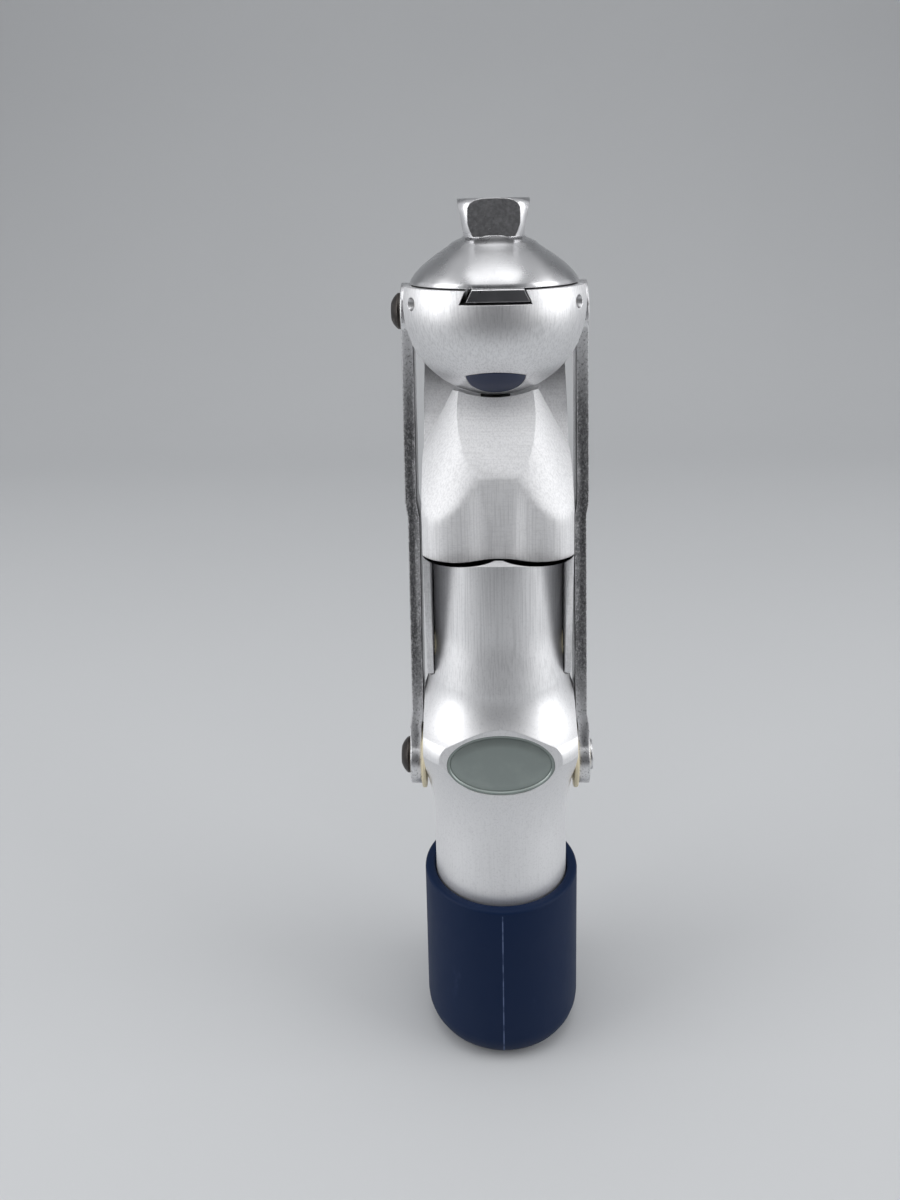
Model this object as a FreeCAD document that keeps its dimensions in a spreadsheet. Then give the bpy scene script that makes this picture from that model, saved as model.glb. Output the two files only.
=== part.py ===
import FreeCAD, Part
import os
import re
import Sketcher

# A four-bar prosthetic knee joint with a pneumatic swing control.
# Frame: +X the wearer's left as seen here on the right, +Y to the rear, +Z up,
# origin on the floor under the tube axis. All sizes are millimetres.

SIZES = {
    # clearances
    "run_gap": 0.05,
    "side_gap": 0.3,
    "seat_gap": 0.1,
    # how far the cutting tools reach past the piece
    "tool_reach": 120,
    "tool_over": 1,
    # protective cap over the tube end
    "cap_radius": 22.3,
    "cap_height": 49.2,
    "cap_floor": 4,
    "cap_corner": 8,
    "cap_edge": 0.7,
    # lower housing, from the tube clamp up to the column
    "tube_radius": 19.05,
    "socket_radius": 15.05,
    "socket_depth": 40,
    "hub_start": 66,
    "hub_flare": 51,
    "hub_radius": 27.4,
    "hub_level": 93.5,
    "hub_round": 8,
    "hub_edge_radius": 26.4,
    "hub_top": 98.5,
    "neck_curve": 18,
    "neck_radius": 19.7,
    "neck_level": 112,
    "column_radius": 18.25,
    "column_start": 125,
    "column_end": 158,
    "flat_half": 20.9,
    "facet_front": 22,
    "facet_rear": 24,
    "facet_low": 70,
    "facet_high": 110,
    # clamp lug at the rear of the tube
    "slit_width": 2.4,
    "lug_half": 9.5,
    "lug_gap": 1.8,
    "lug_height": 13,
    "lug_screw_back": 22.5,
    "clamp_screw_radius": 3,
    "clamp_head_radius": 5,
    "clamp_head_length": 5,
    "clamp_key": 5,
    "clamp_tip_back": 1,
    # oval plate on the front facet
    "oval_width": 28.6,
    "oval_height": 17.3,
    "oval_level": 93.3,
    "oval_recess": 1,
    "oval_plate": 0.8,
    # pivots of the linkage, in the plane of the swing
    "bar_foot_y": 0,
    "bar_foot_z": 83.7,
    "bar_head_y": 12,
    "bar_head_z": 211,
    "link_foot_y": -2,
    "link_foot_z": 120,
    "link_head_y": 28,
    "link_head_z": 200,
    # side bars
    "bar_inner": 22.1,
    "bar_thick": 3.2,
    "bar_eye": 7.8,
    "bar_width": 11.6,
    "bar_joggle": 0.7,
    "joggle_low": 95,
    "joggle_high": 155,
    "joggle_run": 4,
    # lower pivot screws and flanged bushes of the bars
    "pivot_radius": 4,
    "pivot_depth": 9,
    "bush_wall": 1.45,
    "flange_radius": 9,
    "bush_slit": 0.8,
    "button_radius": 5,
    "button_height": 2.6,
    "disc_radius": 4.2,
    "disc_height": 0.9,
    "hex_key": 3,
    "key_depth": 1.5,
    # upper axle with its button screw
    "axle_radius": 4,
    "axle_thread": 2.5,
    "thread_depth": 12,
    "head_bush_length": 10.5,
    # head
    "head_y": 2,
    "bowl_radius": 24.5,
    "bowl_rise": 4.93,
    "head_top": 219,
    "head_flat": 21.8,
    "flat_front": -4,
    "groove_top": 14.8,
    "groove_bottom": 17.8,
    "groove_depth": 3.4,
    "key_gap_left": 1.7,
    "key_gap_right": 0.5,
    "key_lift": 0.6,
    "key_back": 1,
    "rear_lug_half": 10,
    "rear_lug_wall": 3,
    "slot_travel": 7,
    "slot_drop": 2.6,
    "slot_shift_y": 0.4,
    "slot_shift_z": 1.2,
    "relief_radius": 12.4,
    "screw_row_y": -10,
    "screw_row_z": 215,
    "set_screw_radius": 1.7,
    "set_screw_sunk": 1.4,
    # inlay on the lower front of the bowl
    "inlay_half": 7.5,
    "inlay_rise": 2,
    "inlay_height": 5.6,
    "inlay_crown": 1,
    "inlay_proud": 0.02,
    "inlay_arch": 26,
    "inlay_depth": 2,
    # dome and pyramid
    "dome_radius": 28.5,
    "dome_base": 22,
    "dome_lip": 0.8,
    "neck_height": 2.9,
    "neck_sunk": 1.5,
    "pyramid_face": 7.6,
    "pyramid_half": 9.05,
    "pyramid_foot": 7.1,
    "pyramid_turned": 9.3,
    "pyramid_rim": 10.8,
    "pyramid_round": 1.5,
    "pyramid_neck": 7.3,
    "neck_spread": 10.4,
    # fork link
    "link_half": 19.6,
    "cheek_inner": 17.9,
    "ear_radius": 9,
    "column_flat": 17.6,
    "crown_radius": 35.2,
    "crown_gap": 0.6,
    "lobe_low": 151,
    "brow_x": 9.4,
    "brow_y": -16.8,
    "brow_z": 157,
    "brow_radius": 10.2,
    "waist_x": 3.6,
    "waist_y": -13.2,
    "waist_z": 172,
    "waist_radius": 9.1,
    "throat_x": 2.9,
    "throat_y": -3.5,
    "throat_z": 189,
    "throat_radius": 7.8,
    "valley_half": 3.6,
    "valley_floor": -22.6,
    "facet_foot_y": -27.2,
    "facet_foot_z": 165.5,
    "facet_head_y": -7.6,
    "facet_head_z": 190,
    "arm_inner": 10.5,
    "web_top_y": 7,
    "web_top_z": 187.5,
    "web_rear_y": 22,
    "web_rear_z": 172,
    "wing_front_y": 8,
    "wing_front_z": 188,
    "wing_low_y": -11,
    "wing_brow": 155,
    "arm_boss": 8,
    "bowl_gap": 1.2,
    # swing control
    "cylinder_y": 7,
    "cylinder_radius": 8.5,
    "cylinder_low": 62,
    "gland_low": 98,
    "gland_high": 106,
    "gland_radius": 9.8,
    "lever_slot_half": 5.6,
    "lever_slot_front": -9,
    "lever_slot_low": 110,
    "lever_half": 2,
    "lever_hub": 5,
    "lever_tip": 3,
    "lever_reach": 11,
    "lever_angle": 21,
    "crank_pin_radius": 2,
    "crank_pin_half": 5.2,
    "fork_inner": 2.3,
    "fork_front": 2.8,
    "fork_rear": 13,
    "fork_above": 3.6,
    "fork_gap": 5.9,
    "fork_below": 8.4,
    "fork_lip_front": 2,
    "fork_lip_rear": 1.2,
    "rod_radius": 3,
    "piston_low": 79,
    "piston_height": 9,
    "seal_width": 2,
    "seal_depth": 1.6,
    "adjuster_x": 7,
    "adjuster_z": 88,
    "adjuster_radius": 3,
    "adjuster_length": 7,
    "adjuster_slot": 0.8,
    "fork_axle_radius": 3.5,
    "bumper_radius": 4,
    "bumper_depth": 7.6,
}

# sizes that follow from the ones above, as formulas of the sheet
DERIVED = {
    "cap_bore": "=tube_radius + side_gap",
    "cap_bottom_radius": "=cap_radius - cap_corner",
    "cap_top_radius": "=cap_radius - cap_edge",
    "cap_side_top": "=cap_height - cap_edge",
    "lug_level": "=cap_height + lug_gap + lug_height / 2",
    "bar_outer": "=bar_inner + bar_thick",
    "bar_length": "=sqrt((bar_head_y - bar_foot_y)^2 + (bar_head_z - bar_foot_z)^2)",
    "bar_rise": "=(bar_head_z - bar_foot_z) / bar_length",
    "bar_run": "=(bar_head_y - bar_foot_y) / bar_length",
    "joggle_inner": "=bar_inner - bar_joggle",
    "joggle_outer": "=bar_outer - bar_joggle",
    "joggle_low_end": "=joggle_low + joggle_run",
    "joggle_high_end": "=joggle_high + joggle_run",
    "bar_low": "=bar_foot_z - 2 * bar_eye",
    "bar_high": "=bar_head_z + 2 * bar_eye",
    "bush_radius": "=pivot_radius + run_gap + bush_wall",
    "bush_bore": "=pivot_radius + run_gap",
    "bush_hole": "=bush_radius + run_gap",
    "flange_thick": "=bar_inner - flat_half - run_gap",
    "bush_length": "=bar_outer - flat_half",
    "screw_seat": "=bar_outer - flat_half + pivot_depth + side_gap",
    "button_edge": "=screw_seat + 0.3 * button_height",
    "button_top": "=screw_seat + button_height",
    "button_crown": "=0.5 * button_radius",
    "button_curve": "=1.1 * button_radius",
    "disc_top": "=screw_seat + disc_height",
    "axle_bore": "=axle_radius + run_gap",
    "axle_half": "=bar_outer",
    "axle_button_top": "=thread_depth + side_gap + button_height",
    "axle_button_seat": "=thread_depth + side_gap",
    "axle_button_edge": "=thread_depth + side_gap + 0.3 * button_height",
    "thread_stem": "=axle_thread - run_gap",
    "head_bush_radius": "=axle_radius + run_gap + bush_wall",
    "bowl_center": "=head_top - bowl_rise",
    "bowl_rim": "=sqrt(bowl_radius^2 - bowl_rise^2)",
    "bowl_low": "=bowl_center - bowl_radius",
    "inlay_low": "=bowl_low + inlay_rise",
    "inlay_shoulder": "=inlay_low + inlay_height",
    "bumper_low": "=bowl_low - bumper_depth",
    "groove_floor": "=head_top - groove_depth",
    "groove_top_half": "=groove_top / 2",
    "groove_bottom_half": "=groove_bottom / 2",
    "key_top_left": "=groove_top / 2 - key_gap_left",
    "key_top_right": "=groove_top / 2 - key_gap_right",
    "key_low_left": "=groove_bottom / 2 - key_gap_left",
    "key_low_right": "=groove_bottom / 2 - key_gap_right",
    "key_floor": "=groove_floor + key_lift",
    "dome_low": "=head_top + side_gap",
    "dome_shoulder": "=dome_low + dome_lip",
    "dome_high": "=dome_shoulder + dome_radius - sqrt(dome_radius^2 - dome_base^2)",
    "pyramid_low": "=dome_high + neck_height",
    "pyramid_top": "=pyramid_low + pyramid_face",
    "pyramid_edge": "=pyramid_top - pyramid_round",
    "pyramid_top_radius": "=pyramid_rim - pyramid_round",
    "neck_low": "=dome_high - neck_sunk",
    "slot_y": "=link_head_y + slot_shift_y",
    "slot_z": "=link_head_z + slot_shift_z",
    "slot_radius": "=fork_axle_radius + 0.75 * slot_drop + side_gap",
    "slot_half": "=slot_travel / 2 - slot_drop / 2",
    "rear_lug_radius": "=slot_radius + rear_lug_wall",
    "crown_bore": "=crown_radius + crown_gap",
    "arm_front_y": "=link_head_y - 0.8 * arm_boss",
    "arm_front_z": "=link_head_z + 0.6 * arm_boss",
    "arm_rear_y": "=link_head_y + 0.8 * arm_boss",
    "arm_rear_z": "=link_head_z - 0.6 * arm_boss",
    "ear_front": "=link_foot_y - ear_radius",
    "ear_rear": "=link_foot_y + ear_radius",
    "pin_y": "=link_foot_y + lever_reach * cos(lever_angle)",
    "pin_z": "=link_foot_z + lever_reach * sin(lever_angle)",
    "rod_top": "=pin_z - fork_below",
    "seal_low": "=piston_low + (piston_height - seal_width) / 2",
    "seal_high": "=piston_low + (piston_height + seal_width) / 2",
    "piston_high": "=piston_low + piston_height",
    "piston_radius": "=cylinder_radius - run_gap",
    "seal_inner": "=piston_radius - seal_depth",
}

PLANES = {"XY": "XY_Plane", "XZ": "XZ_Plane", "YZ": "YZ_Plane"}
TURNS = {
    "Z": FreeCAD.Rotation(),
    "X": FreeCAD.Rotation(FreeCAD.Vector(0, 1, 0), 90),
    "-X": FreeCAD.Rotation(FreeCAD.Vector(0, 1, 0), -90),
    "Y": FreeCAD.Rotation(FreeCAD.Vector(1, 0, 0), -90),
    "-Y": FreeCAD.Rotation(FreeCAD.Vector(1, 0, 0), 90),
}

doc = FreeCAD.newDocument("ProstheticKnee")
sheet = doc.addObject("Spreadsheet::Sheet", "Sizes")
nodes = []


# the sheet of sizes

def fill_sheet():
    rows = {**SIZES, **DERIVED}
    for row, alias in enumerate(rows, start=1):
        sheet.set(f"A{row}", alias)
        sheet.setAlias(f"B{row}", alias)
    for row, content in enumerate(rows.values(), start=1):
        sheet.set(f"B{row}", str(content))
    doc.recompute()


def formula(text):
    def named(match):
        word = match.group()
        return f"Sizes.{word}" if word in SIZES or word in DERIVED else word
    return re.sub(r"[a-z][a-z_]*", named, str(text))


def value(term):
    if term == "0":
        return 0.0
    sign = -1 if term.startswith("-") else 1
    return sign * float(sheet.get(term.lstrip("-")))


# primitives, placed and sized by formulas

def bind(obj, **sizes):
    for name, text in sizes.items():
        obj.setExpression(name, formula(text))
    return obj


def place(obj, x="0", y="0", z="0", turn="Z"):
    obj.Placement = FreeCAD.Placement(FreeCAD.Vector(), TURNS[turn])
    for axis, text in zip("xyz", (x, y, z)):
        obj.setExpression(f"Placement.Base.{axis}", formula(text))
    return obj


def cylinder(name, radius, length, x="0", y="0", z="0", turn="Z"):
    obj = bind(doc.addObject("Part::Cylinder", name), Radius=radius, Height=length)
    return place(obj, x, y, z, turn)


def ball(name, radius, x="0", y="0", z="0"):
    return place(bind(doc.addObject("Part::Sphere", name), Radius=radius), x, y, z, "X")


def block(name, x, y, z):
    obj = doc.addObject("Part::Box", name)
    bind(obj, Length=f"({x[1]}) - ({x[0]})", Width=f"({y[1]}) - ({y[0]})", Height=f"({z[1]}) - ({z[0]})")
    return place(obj, x[0], y[0], z[0])


def hexagon(name, across, length, x="0", y="0", z="0", turn="Z"):
    obj = bind(doc.addObject("Part::Prism", name), Circumradius=f"({across}) / sqrt(3)", Height=length)
    obj.Polygon = 6
    return place(obj, x, y, z, turn)


# booleans

def cut(name, base, *tools):
    result = base
    for count, tool in enumerate(tools):
        step = doc.addObject("Part::Cut", f"{name}_cut{count}")
        step.Base = result
        step.Tool = tool
        result = step
    return result


def fuse(name, *shapes):
    obj = doc.addObject("Part::MultiFuse", name)
    obj.Shapes = list(shapes)
    obj.Refine = True
    return obj


def common(name, *shapes):
    obj = doc.addObject("Part::MultiCommon", name)
    obj.Shapes = list(shapes)
    return obj


def node(label, obj):
    obj.Label = label
    nodes.append(obj)
    return obj


# sketched profiles: a corner is (u, v), or (u, v, radius, side) where an arc leads on from it

def arc_between(start, end, radius, side):
    chord = end - start
    middle = (start + end) * 0.5
    rise = max(radius * radius - chord.Length ** 2 / 4, 0) ** 0.5
    across = FreeCAD.Vector(-chord.y, chord.x, 0).normalize()
    center = middle + across * rise * side
    bulge = center - across * radius * side
    if side < 0:
        start, end = end, start
    return Part.Arc(start, bulge, end)


def profile(body, plane, corners):
    sketch = body.newObject("Sketcher::SketchObject", f"{body.Name}_sketch")
    role = PLANES[plane]
    support = next(f for f in body.Origin.OriginFeatures if f.Role == role)
    sketch.AttachmentSupport = [(support, "")]
    sketch.MapMode = "FlatFace"
    points = [FreeCAD.Vector(value(c[0]), value(c[1]), 0) for c in corners]
    for index, corner in enumerate(corners):
        start = points[index]
        end = points[(index + 1) % len(points)]
        if len(corner) == 4:
            sketch.addGeometry(arc_between(start, end, value(corner[2]), corner[3]), False)
        else:
            sketch.addGeometry(Part.LineSegment(start, end), False)
    starts = [2 if len(corner) == 4 and corner[3] < 0 else 1 for corner in corners]
    for index, corner in enumerate(corners):
        following = (index + 1) % len(corners)
        sketch.addConstraint(Sketcher.Constraint(
            "Coincident", index, 3 - starts[index], following, starts[following]))
        for direction, axis, term in (("DistanceX", -2, corner[0]), ("DistanceY", -1, corner[1])):
            if term == "0":
                sketch.addConstraint(Sketcher.Constraint("PointOnObject", index, starts[index], axis))
            else:
                number = sketch.addConstraint(Sketcher.Constraint(
                    direction, -1, 1, index, starts[index], value(term)))
                sketch.setExpression(f"Constraints[{number}]", formula(term))
        if len(corner) == 4:
            number = sketch.addConstraint(Sketcher.Constraint("Radius", index, value(corner[2])))
            sketch.setExpression(f"Constraints[{number}]", formula(corner[2]))
    return sketch


def revolved(name, corners, x="0", y="0", z="0", turn="Z"):
    body = doc.addObject("PartDesign::Body", name)
    sketch = profile(body, "XZ", corners)
    turned = body.newObject("PartDesign::Revolution", f"{name}_turned")
    turned.Profile = sketch
    turned.ReferenceAxis = (sketch, ["V_Axis"])
    turned.Angle = 360
    return place(body, x, y, z, turn)


def padded(name, plane, corners, start, length):
    body = doc.addObject("PartDesign::Body", name)
    sketch = profile(body, plane, corners)
    pad = body.newObject("PartDesign::Pad", f"{name}_pad")
    pad.Profile = sketch
    pad.setExpression("Length", formula(length))
    shift = {"XY": "z", "XZ": "y", "YZ": "x"}[plane]
    return place(body, **{shift: start})


def oval(name, grow, front, length):
    rim = bind(doc.addObject("Part::Ellipse", f"{name}_rim"),
               MajorRadius=f"oval_width / 2 + {grow}", MinorRadius=f"oval_height / 2 + {grow}")
    place(rim, y=front, z="oval_level", turn="-Y")
    body = doc.addObject("Part::Extrusion", name)
    body.Base = rim
    body.DirMode = "Custom"
    body.Dir = FreeCAD.Vector(0, 1, 0)
    body.Solid = True
    return bind(body, LengthFwd=length)


# protective cap

def make_cap():
    cap = revolved("cap_body", [
        ("0", "0"),
        ("cap_bottom_radius", "0", "cap_corner", 1),
        ("cap_radius", "cap_corner"),
        ("cap_radius", "cap_side_top"),
        ("cap_top_radius", "cap_height"),
        ("cap_bore", "cap_height"),
        ("cap_bore", "cap_floor"),
        ("0", "cap_floor"),
    ])
    node("protective_cap", cap)


# lower housing with its clamp, hub and column

def make_housing():
    turned = revolved("housing_turned", [
        ("0", "cap_floor"),
        ("tube_radius", "cap_floor"),
        ("tube_radius", "hub_start", "hub_flare", -1),
        ("hub_radius", "hub_level", "hub_round", 1),
        ("hub_edge_radius", "hub_top", "neck_curve", -1),
        ("neck_radius", "neck_level"),
        ("column_radius", "column_start"),
        ("column_radius", "column_end"),
        ("0", "column_end"),
    ])
    lug = block("clamp_lug", ("-lug_half", "lug_half"), ("0", "lug_screw_back"),
                ("lug_level - lug_height / 2", "lug_level + lug_height / 2"))
    lug_end = cylinder("clamp_lug_end", "lug_height / 2", "2 * lug_half", x="-lug_half",
                       y="lug_screw_back", z="lug_level", turn="X")
    solid = fuse("housing_solid", turned, lug, lug_end)
    everywhere = ("-tool_reach", "tool_reach")
    facets = []
    for side, x in (("right", ("flat_half", "tool_reach")), ("left", ("-tool_reach", "-flat_half"))):
        facets.append(block(f"flat_{side}", x, everywhere, ("hub_start", "facet_high")))
    facets.append(block("facet_front_cut", everywhere, ("-tool_reach", "-facet_front"),
                        ("facet_low", "facet_high")))
    facets.append(block("facet_rear_cut", everywhere, ("facet_rear", "tool_reach"),
                        ("facet_low", "facet_high")))
    bores = [
        cylinder("tube_socket", "socket_radius", "socket_depth + cap_floor"),
        cylinder("cylinder_bore", "cylinder_radius", "gland_low - cylinder_low", y="cylinder_y",
                 z="cylinder_low"),
        cylinder("gland_bore", "gland_radius", "column_end - gland_low", y="cylinder_y", z="gland_low"),
        block("lever_slot", ("-lever_slot_half", "lever_slot_half"), ("lever_slot_front", "cylinder_y"),
              ("lever_slot_low", "column_end")),
        cylinder("link_axle_bore", "bush_hole", "2 * tool_reach", x="-tool_reach",
                 y="link_foot_y", z="link_foot_z", turn="X"),
        cylinder("pivot_thread_right", "bush_bore", "tool_reach", x="flat_half - pivot_depth",
                 y="bar_foot_y", z="bar_foot_z", turn="X"),
        cylinder("pivot_thread_left", "bush_bore", "tool_reach", x="pivot_depth - flat_half",
                 y="bar_foot_y", z="bar_foot_z", turn="-X"),
        oval("oval_recess_cut", "seat_gap", "-tool_reach", "tool_reach - facet_front + oval_recess"),
    ]
    clamp = [
        block("clamp_slit", ("-slit_width / 2", "slit_width / 2"), ("socket_radius / 2", "tool_reach"),
              ("0", "hub_start")),
        cylinder("clamp_slit_end", "slit_width", "tool_reach",
                 y="socket_radius / 2", z="hub_start", turn="Y"),
        cylinder("clamp_screw_hole", "clamp_screw_radius + run_gap", "2 * lug_half", x="-lug_half",
                 y="lug_screw_back", z="lug_level", turn="X"),
        cylinder("clamp_head_pocket", "clamp_head_radius + run_gap", "2 * lug_half",
                 x="lug_half - clamp_head_length", y="lug_screw_back", z="lug_level", turn="X"),
    ]
    seats = []
    for side, sign in (("right", ""), ("left", "-")):
        turn = f"{sign}X"
        seats.append(cylinder(f"ear_spot_{side}", "ear_radius + side_gap", "tool_reach",
                              x=f"{sign}column_flat", y="link_foot_y", z="link_foot_z", turn=turn))
        span = ("column_flat", "tool_reach") if side == "right" else ("-tool_reach", "-column_flat")
        seats.append(block(f"cheek_flat_{side}", span, everywhere,
                           ("link_foot_z", "column_end + tool_over")))
        seats.append(block(f"cheek_run_{side}", span, ("link_foot_y", "tool_reach"),
                           ("link_foot_z - ear_radius - side_gap", "column_end")))
    for side, sign in (("right", ""), ("left", "-")):
        seats.append(cylinder(f"adjuster_pocket_{side}", "adjuster_radius + run_gap", "tool_reach",
                              x=f"{sign}adjuster_x", y="facet_rear - adjuster_length", z="adjuster_z",
                              turn="Y"))
    crown_box = block("crown_box", everywhere, everywhere,
                      ("link_foot_z + crown_radius / 2", "column_end + tool_over"))
    crown_drum = cylinder("crown_drum", "crown_radius", "2 * (tool_reach + tool_over)",
                          x="-tool_reach - tool_over", y="link_foot_y", z="link_foot_z", turn="X")
    crown = cut("crown", crown_box, crown_drum)
    node("lower_housing", cut("housing", solid, *facets, *bores, *clamp, *seats, crown))


def make_clamp_screw():
    head = cylinder("clamp_head", "clamp_head_radius", "clamp_head_length",
                    x="lug_half - clamp_head_length", y="lug_screw_back", z="lug_level", turn="X")
    stem = cylinder("clamp_stem", "clamp_screw_radius", "2 * lug_half - clamp_head_length - clamp_tip_back",
                    x="clamp_tip_back - lug_half", y="lug_screw_back", z="lug_level", turn="X")
    key = hexagon("clamp_key_cut", "clamp_key", "clamp_head_length", x="lug_half - clamp_head_length / 2",
                  y="lug_screw_back", z="lug_level", turn="X")
    node("clamp_screw", cut("clamp_screw_solid", fuse("clamp_screw_blank", head, stem), key))


def make_oval():
    plate = oval("oval_plate_solid", "0", "-facet_front + oval_recess - oval_plate", "oval_plate")
    node("emblem_plate", plate)


# lower pivots of the side bars

def make_pivots():
    for side, sign in (("right", ""), ("left", "-")):
        start = f"{sign}(flat_half - pivot_depth)"
        if side == "left":
            corners = [("0", "0"), ("pivot_radius", "0"), ("pivot_radius", "screw_seat"),
                       ("button_radius", "screw_seat"), ("button_radius", "button_edge", "button_curve", 1),
                       ("button_crown", "button_top"), ("0", "button_top")]
            depth = "button_height"
        else:
            corners = [("0", "0"), ("pivot_radius", "0"), ("pivot_radius", "screw_seat"),
                       ("disc_radius", "screw_seat"), ("disc_radius", "disc_top"), ("0", "disc_top")]
            depth = "disc_height"
        screw = revolved(f"pivot_{side}_turned", corners, x=start, y="bar_foot_y", z="bar_foot_z",
                         turn=f"{sign}X")
        key = hexagon(f"pivot_{side}_key", "hex_key", "tool_reach",
                      x=f"{sign}(bar_outer + side_gap + {depth} - key_depth)",
                      y="bar_foot_y", z="bar_foot_z", turn=f"{sign}X")
        node(f"pivot_screw_{side}", cut(f"pivot_{side}", screw, key))
        bush = revolved(f"bush_{side}_turned", [
            ("bush_bore", "0"),
            ("flange_radius", "0"),
            ("flange_radius", "flange_thick"),
            ("bush_radius", "flange_thick"),
            ("bush_radius", "bush_length"),
            ("bush_bore", "bush_length"),
        ], x=f"{sign}(flat_half + run_gap)", y="bar_foot_y", z="bar_foot_z", turn=f"{sign}X")
        if side == "right":
            slit = block("bush_slit_cut", ("flat_half", "tool_reach"),
                         ("bar_foot_y - bush_slit / 2", "bar_foot_y + bush_slit / 2"),
                         ("bar_foot_z - 2 * flange_radius", "bar_foot_z"))
            bush = cut("bush_right_slit", bush, slit)
        node(f"pivot_bush_{side}", bush)


# side bars: an edge-on profile with its joggle, trimmed by the outline seen from the side

def make_bars():
    for side, sign in (("right", ""), ("left", "-")):
        edge = [
            (f"{sign}bar_inner", "bar_low"),
            (f"{sign}bar_outer", "bar_low"),
            (f"{sign}bar_outer", "joggle_low"),
            (f"{sign}joggle_outer", "joggle_low_end"),
            (f"{sign}joggle_outer", "joggle_high"),
            (f"{sign}bar_outer", "joggle_high_end"),
            (f"{sign}bar_outer", "bar_high"),
            (f"{sign}bar_inner", "bar_high"),
            (f"{sign}bar_inner", "joggle_high_end"),
            (f"{sign}joggle_inner", "joggle_high"),
            (f"{sign}joggle_inner", "joggle_low_end"),
            (f"{sign}bar_inner", "joggle_low"),
        ]
        strip = padded(f"bar_{side}_strip", "XZ", edge, "tool_reach", "2 * tool_reach")
        across = {"turn": "X", "x": "-tool_reach"}
        foot = cylinder(f"bar_{side}_foot", "bar_eye", "2 * tool_reach",
                        y="bar_foot_y", z="bar_foot_z", **across)
        head = cylinder(f"bar_{side}_head", "bar_eye", "2 * tool_reach",
                        y="bar_head_y", z="bar_head_z", **across)
        waist = doc.addObject("Part::Box", f"bar_{side}_waist")
        bind(waist, Length="2 * tool_reach", Width="bar_width", Height="bar_length")
        place(waist, "-tool_reach", "bar_foot_y - bar_width / 2 * bar_rise",
              "bar_foot_z + bar_width / 2 * bar_run")
        waist.setExpression("Placement.Rotation.Angle", formula("-asin(bar_run)"))
        waist.setExpression("Placement.Rotation.Axis.x", "1")
        waist.setExpression("Placement.Rotation.Axis.z", "0")
        outline = fuse(f"bar_{side}_outline", foot, head, waist)
        blank = common(f"bar_{side}_blank", strip, outline)
        holes = [
            cylinder(f"bar_{side}_foot_hole", "bush_hole", "2 * tool_reach",
                     y="bar_foot_y", z="bar_foot_z", **across),
            cylinder(f"bar_{side}_head_hole", "axle_bore", "2 * tool_reach",
                     y="bar_head_y", z="bar_head_z", **across),
        ]
        node(f"side_bar_{side}", cut(f"bar_{side}", blank, *holes))


def make_upper_axle():
    axle = cylinder("upper_axle_rod", "axle_radius", "2 * axle_half", x="-axle_half",
                    y="bar_head_y", z="bar_head_z", turn="X")
    thread = cylinder("upper_axle_thread", "axle_thread", "thread_depth + tool_over", x="-axle_half",
                      y="bar_head_y", z="bar_head_z", turn="X")
    node("upper_axle", cut("upper_axle_solid", axle, thread))
    button = revolved("axle_button_turned", [
        ("0", "0"),
        ("thread_stem", "0"),
        ("thread_stem", "axle_button_seat"),
        ("button_radius", "axle_button_seat"),
        ("button_radius", "axle_button_edge", "button_curve", 1),
        ("button_crown", "axle_button_top"),
        ("0", "axle_button_top"),
    ], x="thread_depth - axle_half", y="bar_head_y", z="bar_head_z", turn="-X")
    key = hexagon("axle_button_key", "hex_key", "tool_reach",
                  x="-axle_half - side_gap - button_height + key_depth",
                  y="bar_head_y", z="bar_head_z", turn="-X")
    node("axle_button", cut("axle_button_solid", button, key))
    for side, sign in (("right", ""), ("left", "-")):
        sleeve = cylinder(f"head_bush_{side}_sleeve", "head_bush_radius", "head_bush_length",
                          x=f"{sign}(head_flat - head_bush_length)", y="bar_head_y", z="bar_head_z",
                          turn=f"{sign}X")
        bore = cylinder(f"head_bush_{side}_bore", "axle_bore", "2 * tool_reach", x="-tool_reach",
                        y="bar_head_y", z="bar_head_z", turn="X")
        node(f"head_bush_{side}", cut(f"head_bush_{side}_solid", sleeve, bore))


# head: a turned bowl with flats for the bars, a groove for the adapter and a rear lug

def inlay_prism(name, grow):
    obj = doc.addObject("Part::Ellipse", f"{name}_rim")
    bind(obj, MajorRadius=f"inlay_half + {grow}", MinorRadius=f"(inlay_shoulder - inlay_low) + {grow}")
    place(obj, y="-tool_reach", z="inlay_shoulder", turn="-Y")
    body = doc.addObject("Part::Extrusion", name)
    body.Base = obj
    body.DirMode = "Custom"
    body.Dir = FreeCAD.Vector(0, 1, 0)
    body.Solid = True
    bind(body, LengthFwd="tool_reach")
    arch = cylinder(f"{name}_arch", f"inlay_arch + {grow}", "tool_reach", y="-tool_reach",
                    z="inlay_shoulder + inlay_crown - inlay_arch", turn="Y")
    return common(f"{name}_outline", body, arch)


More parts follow.
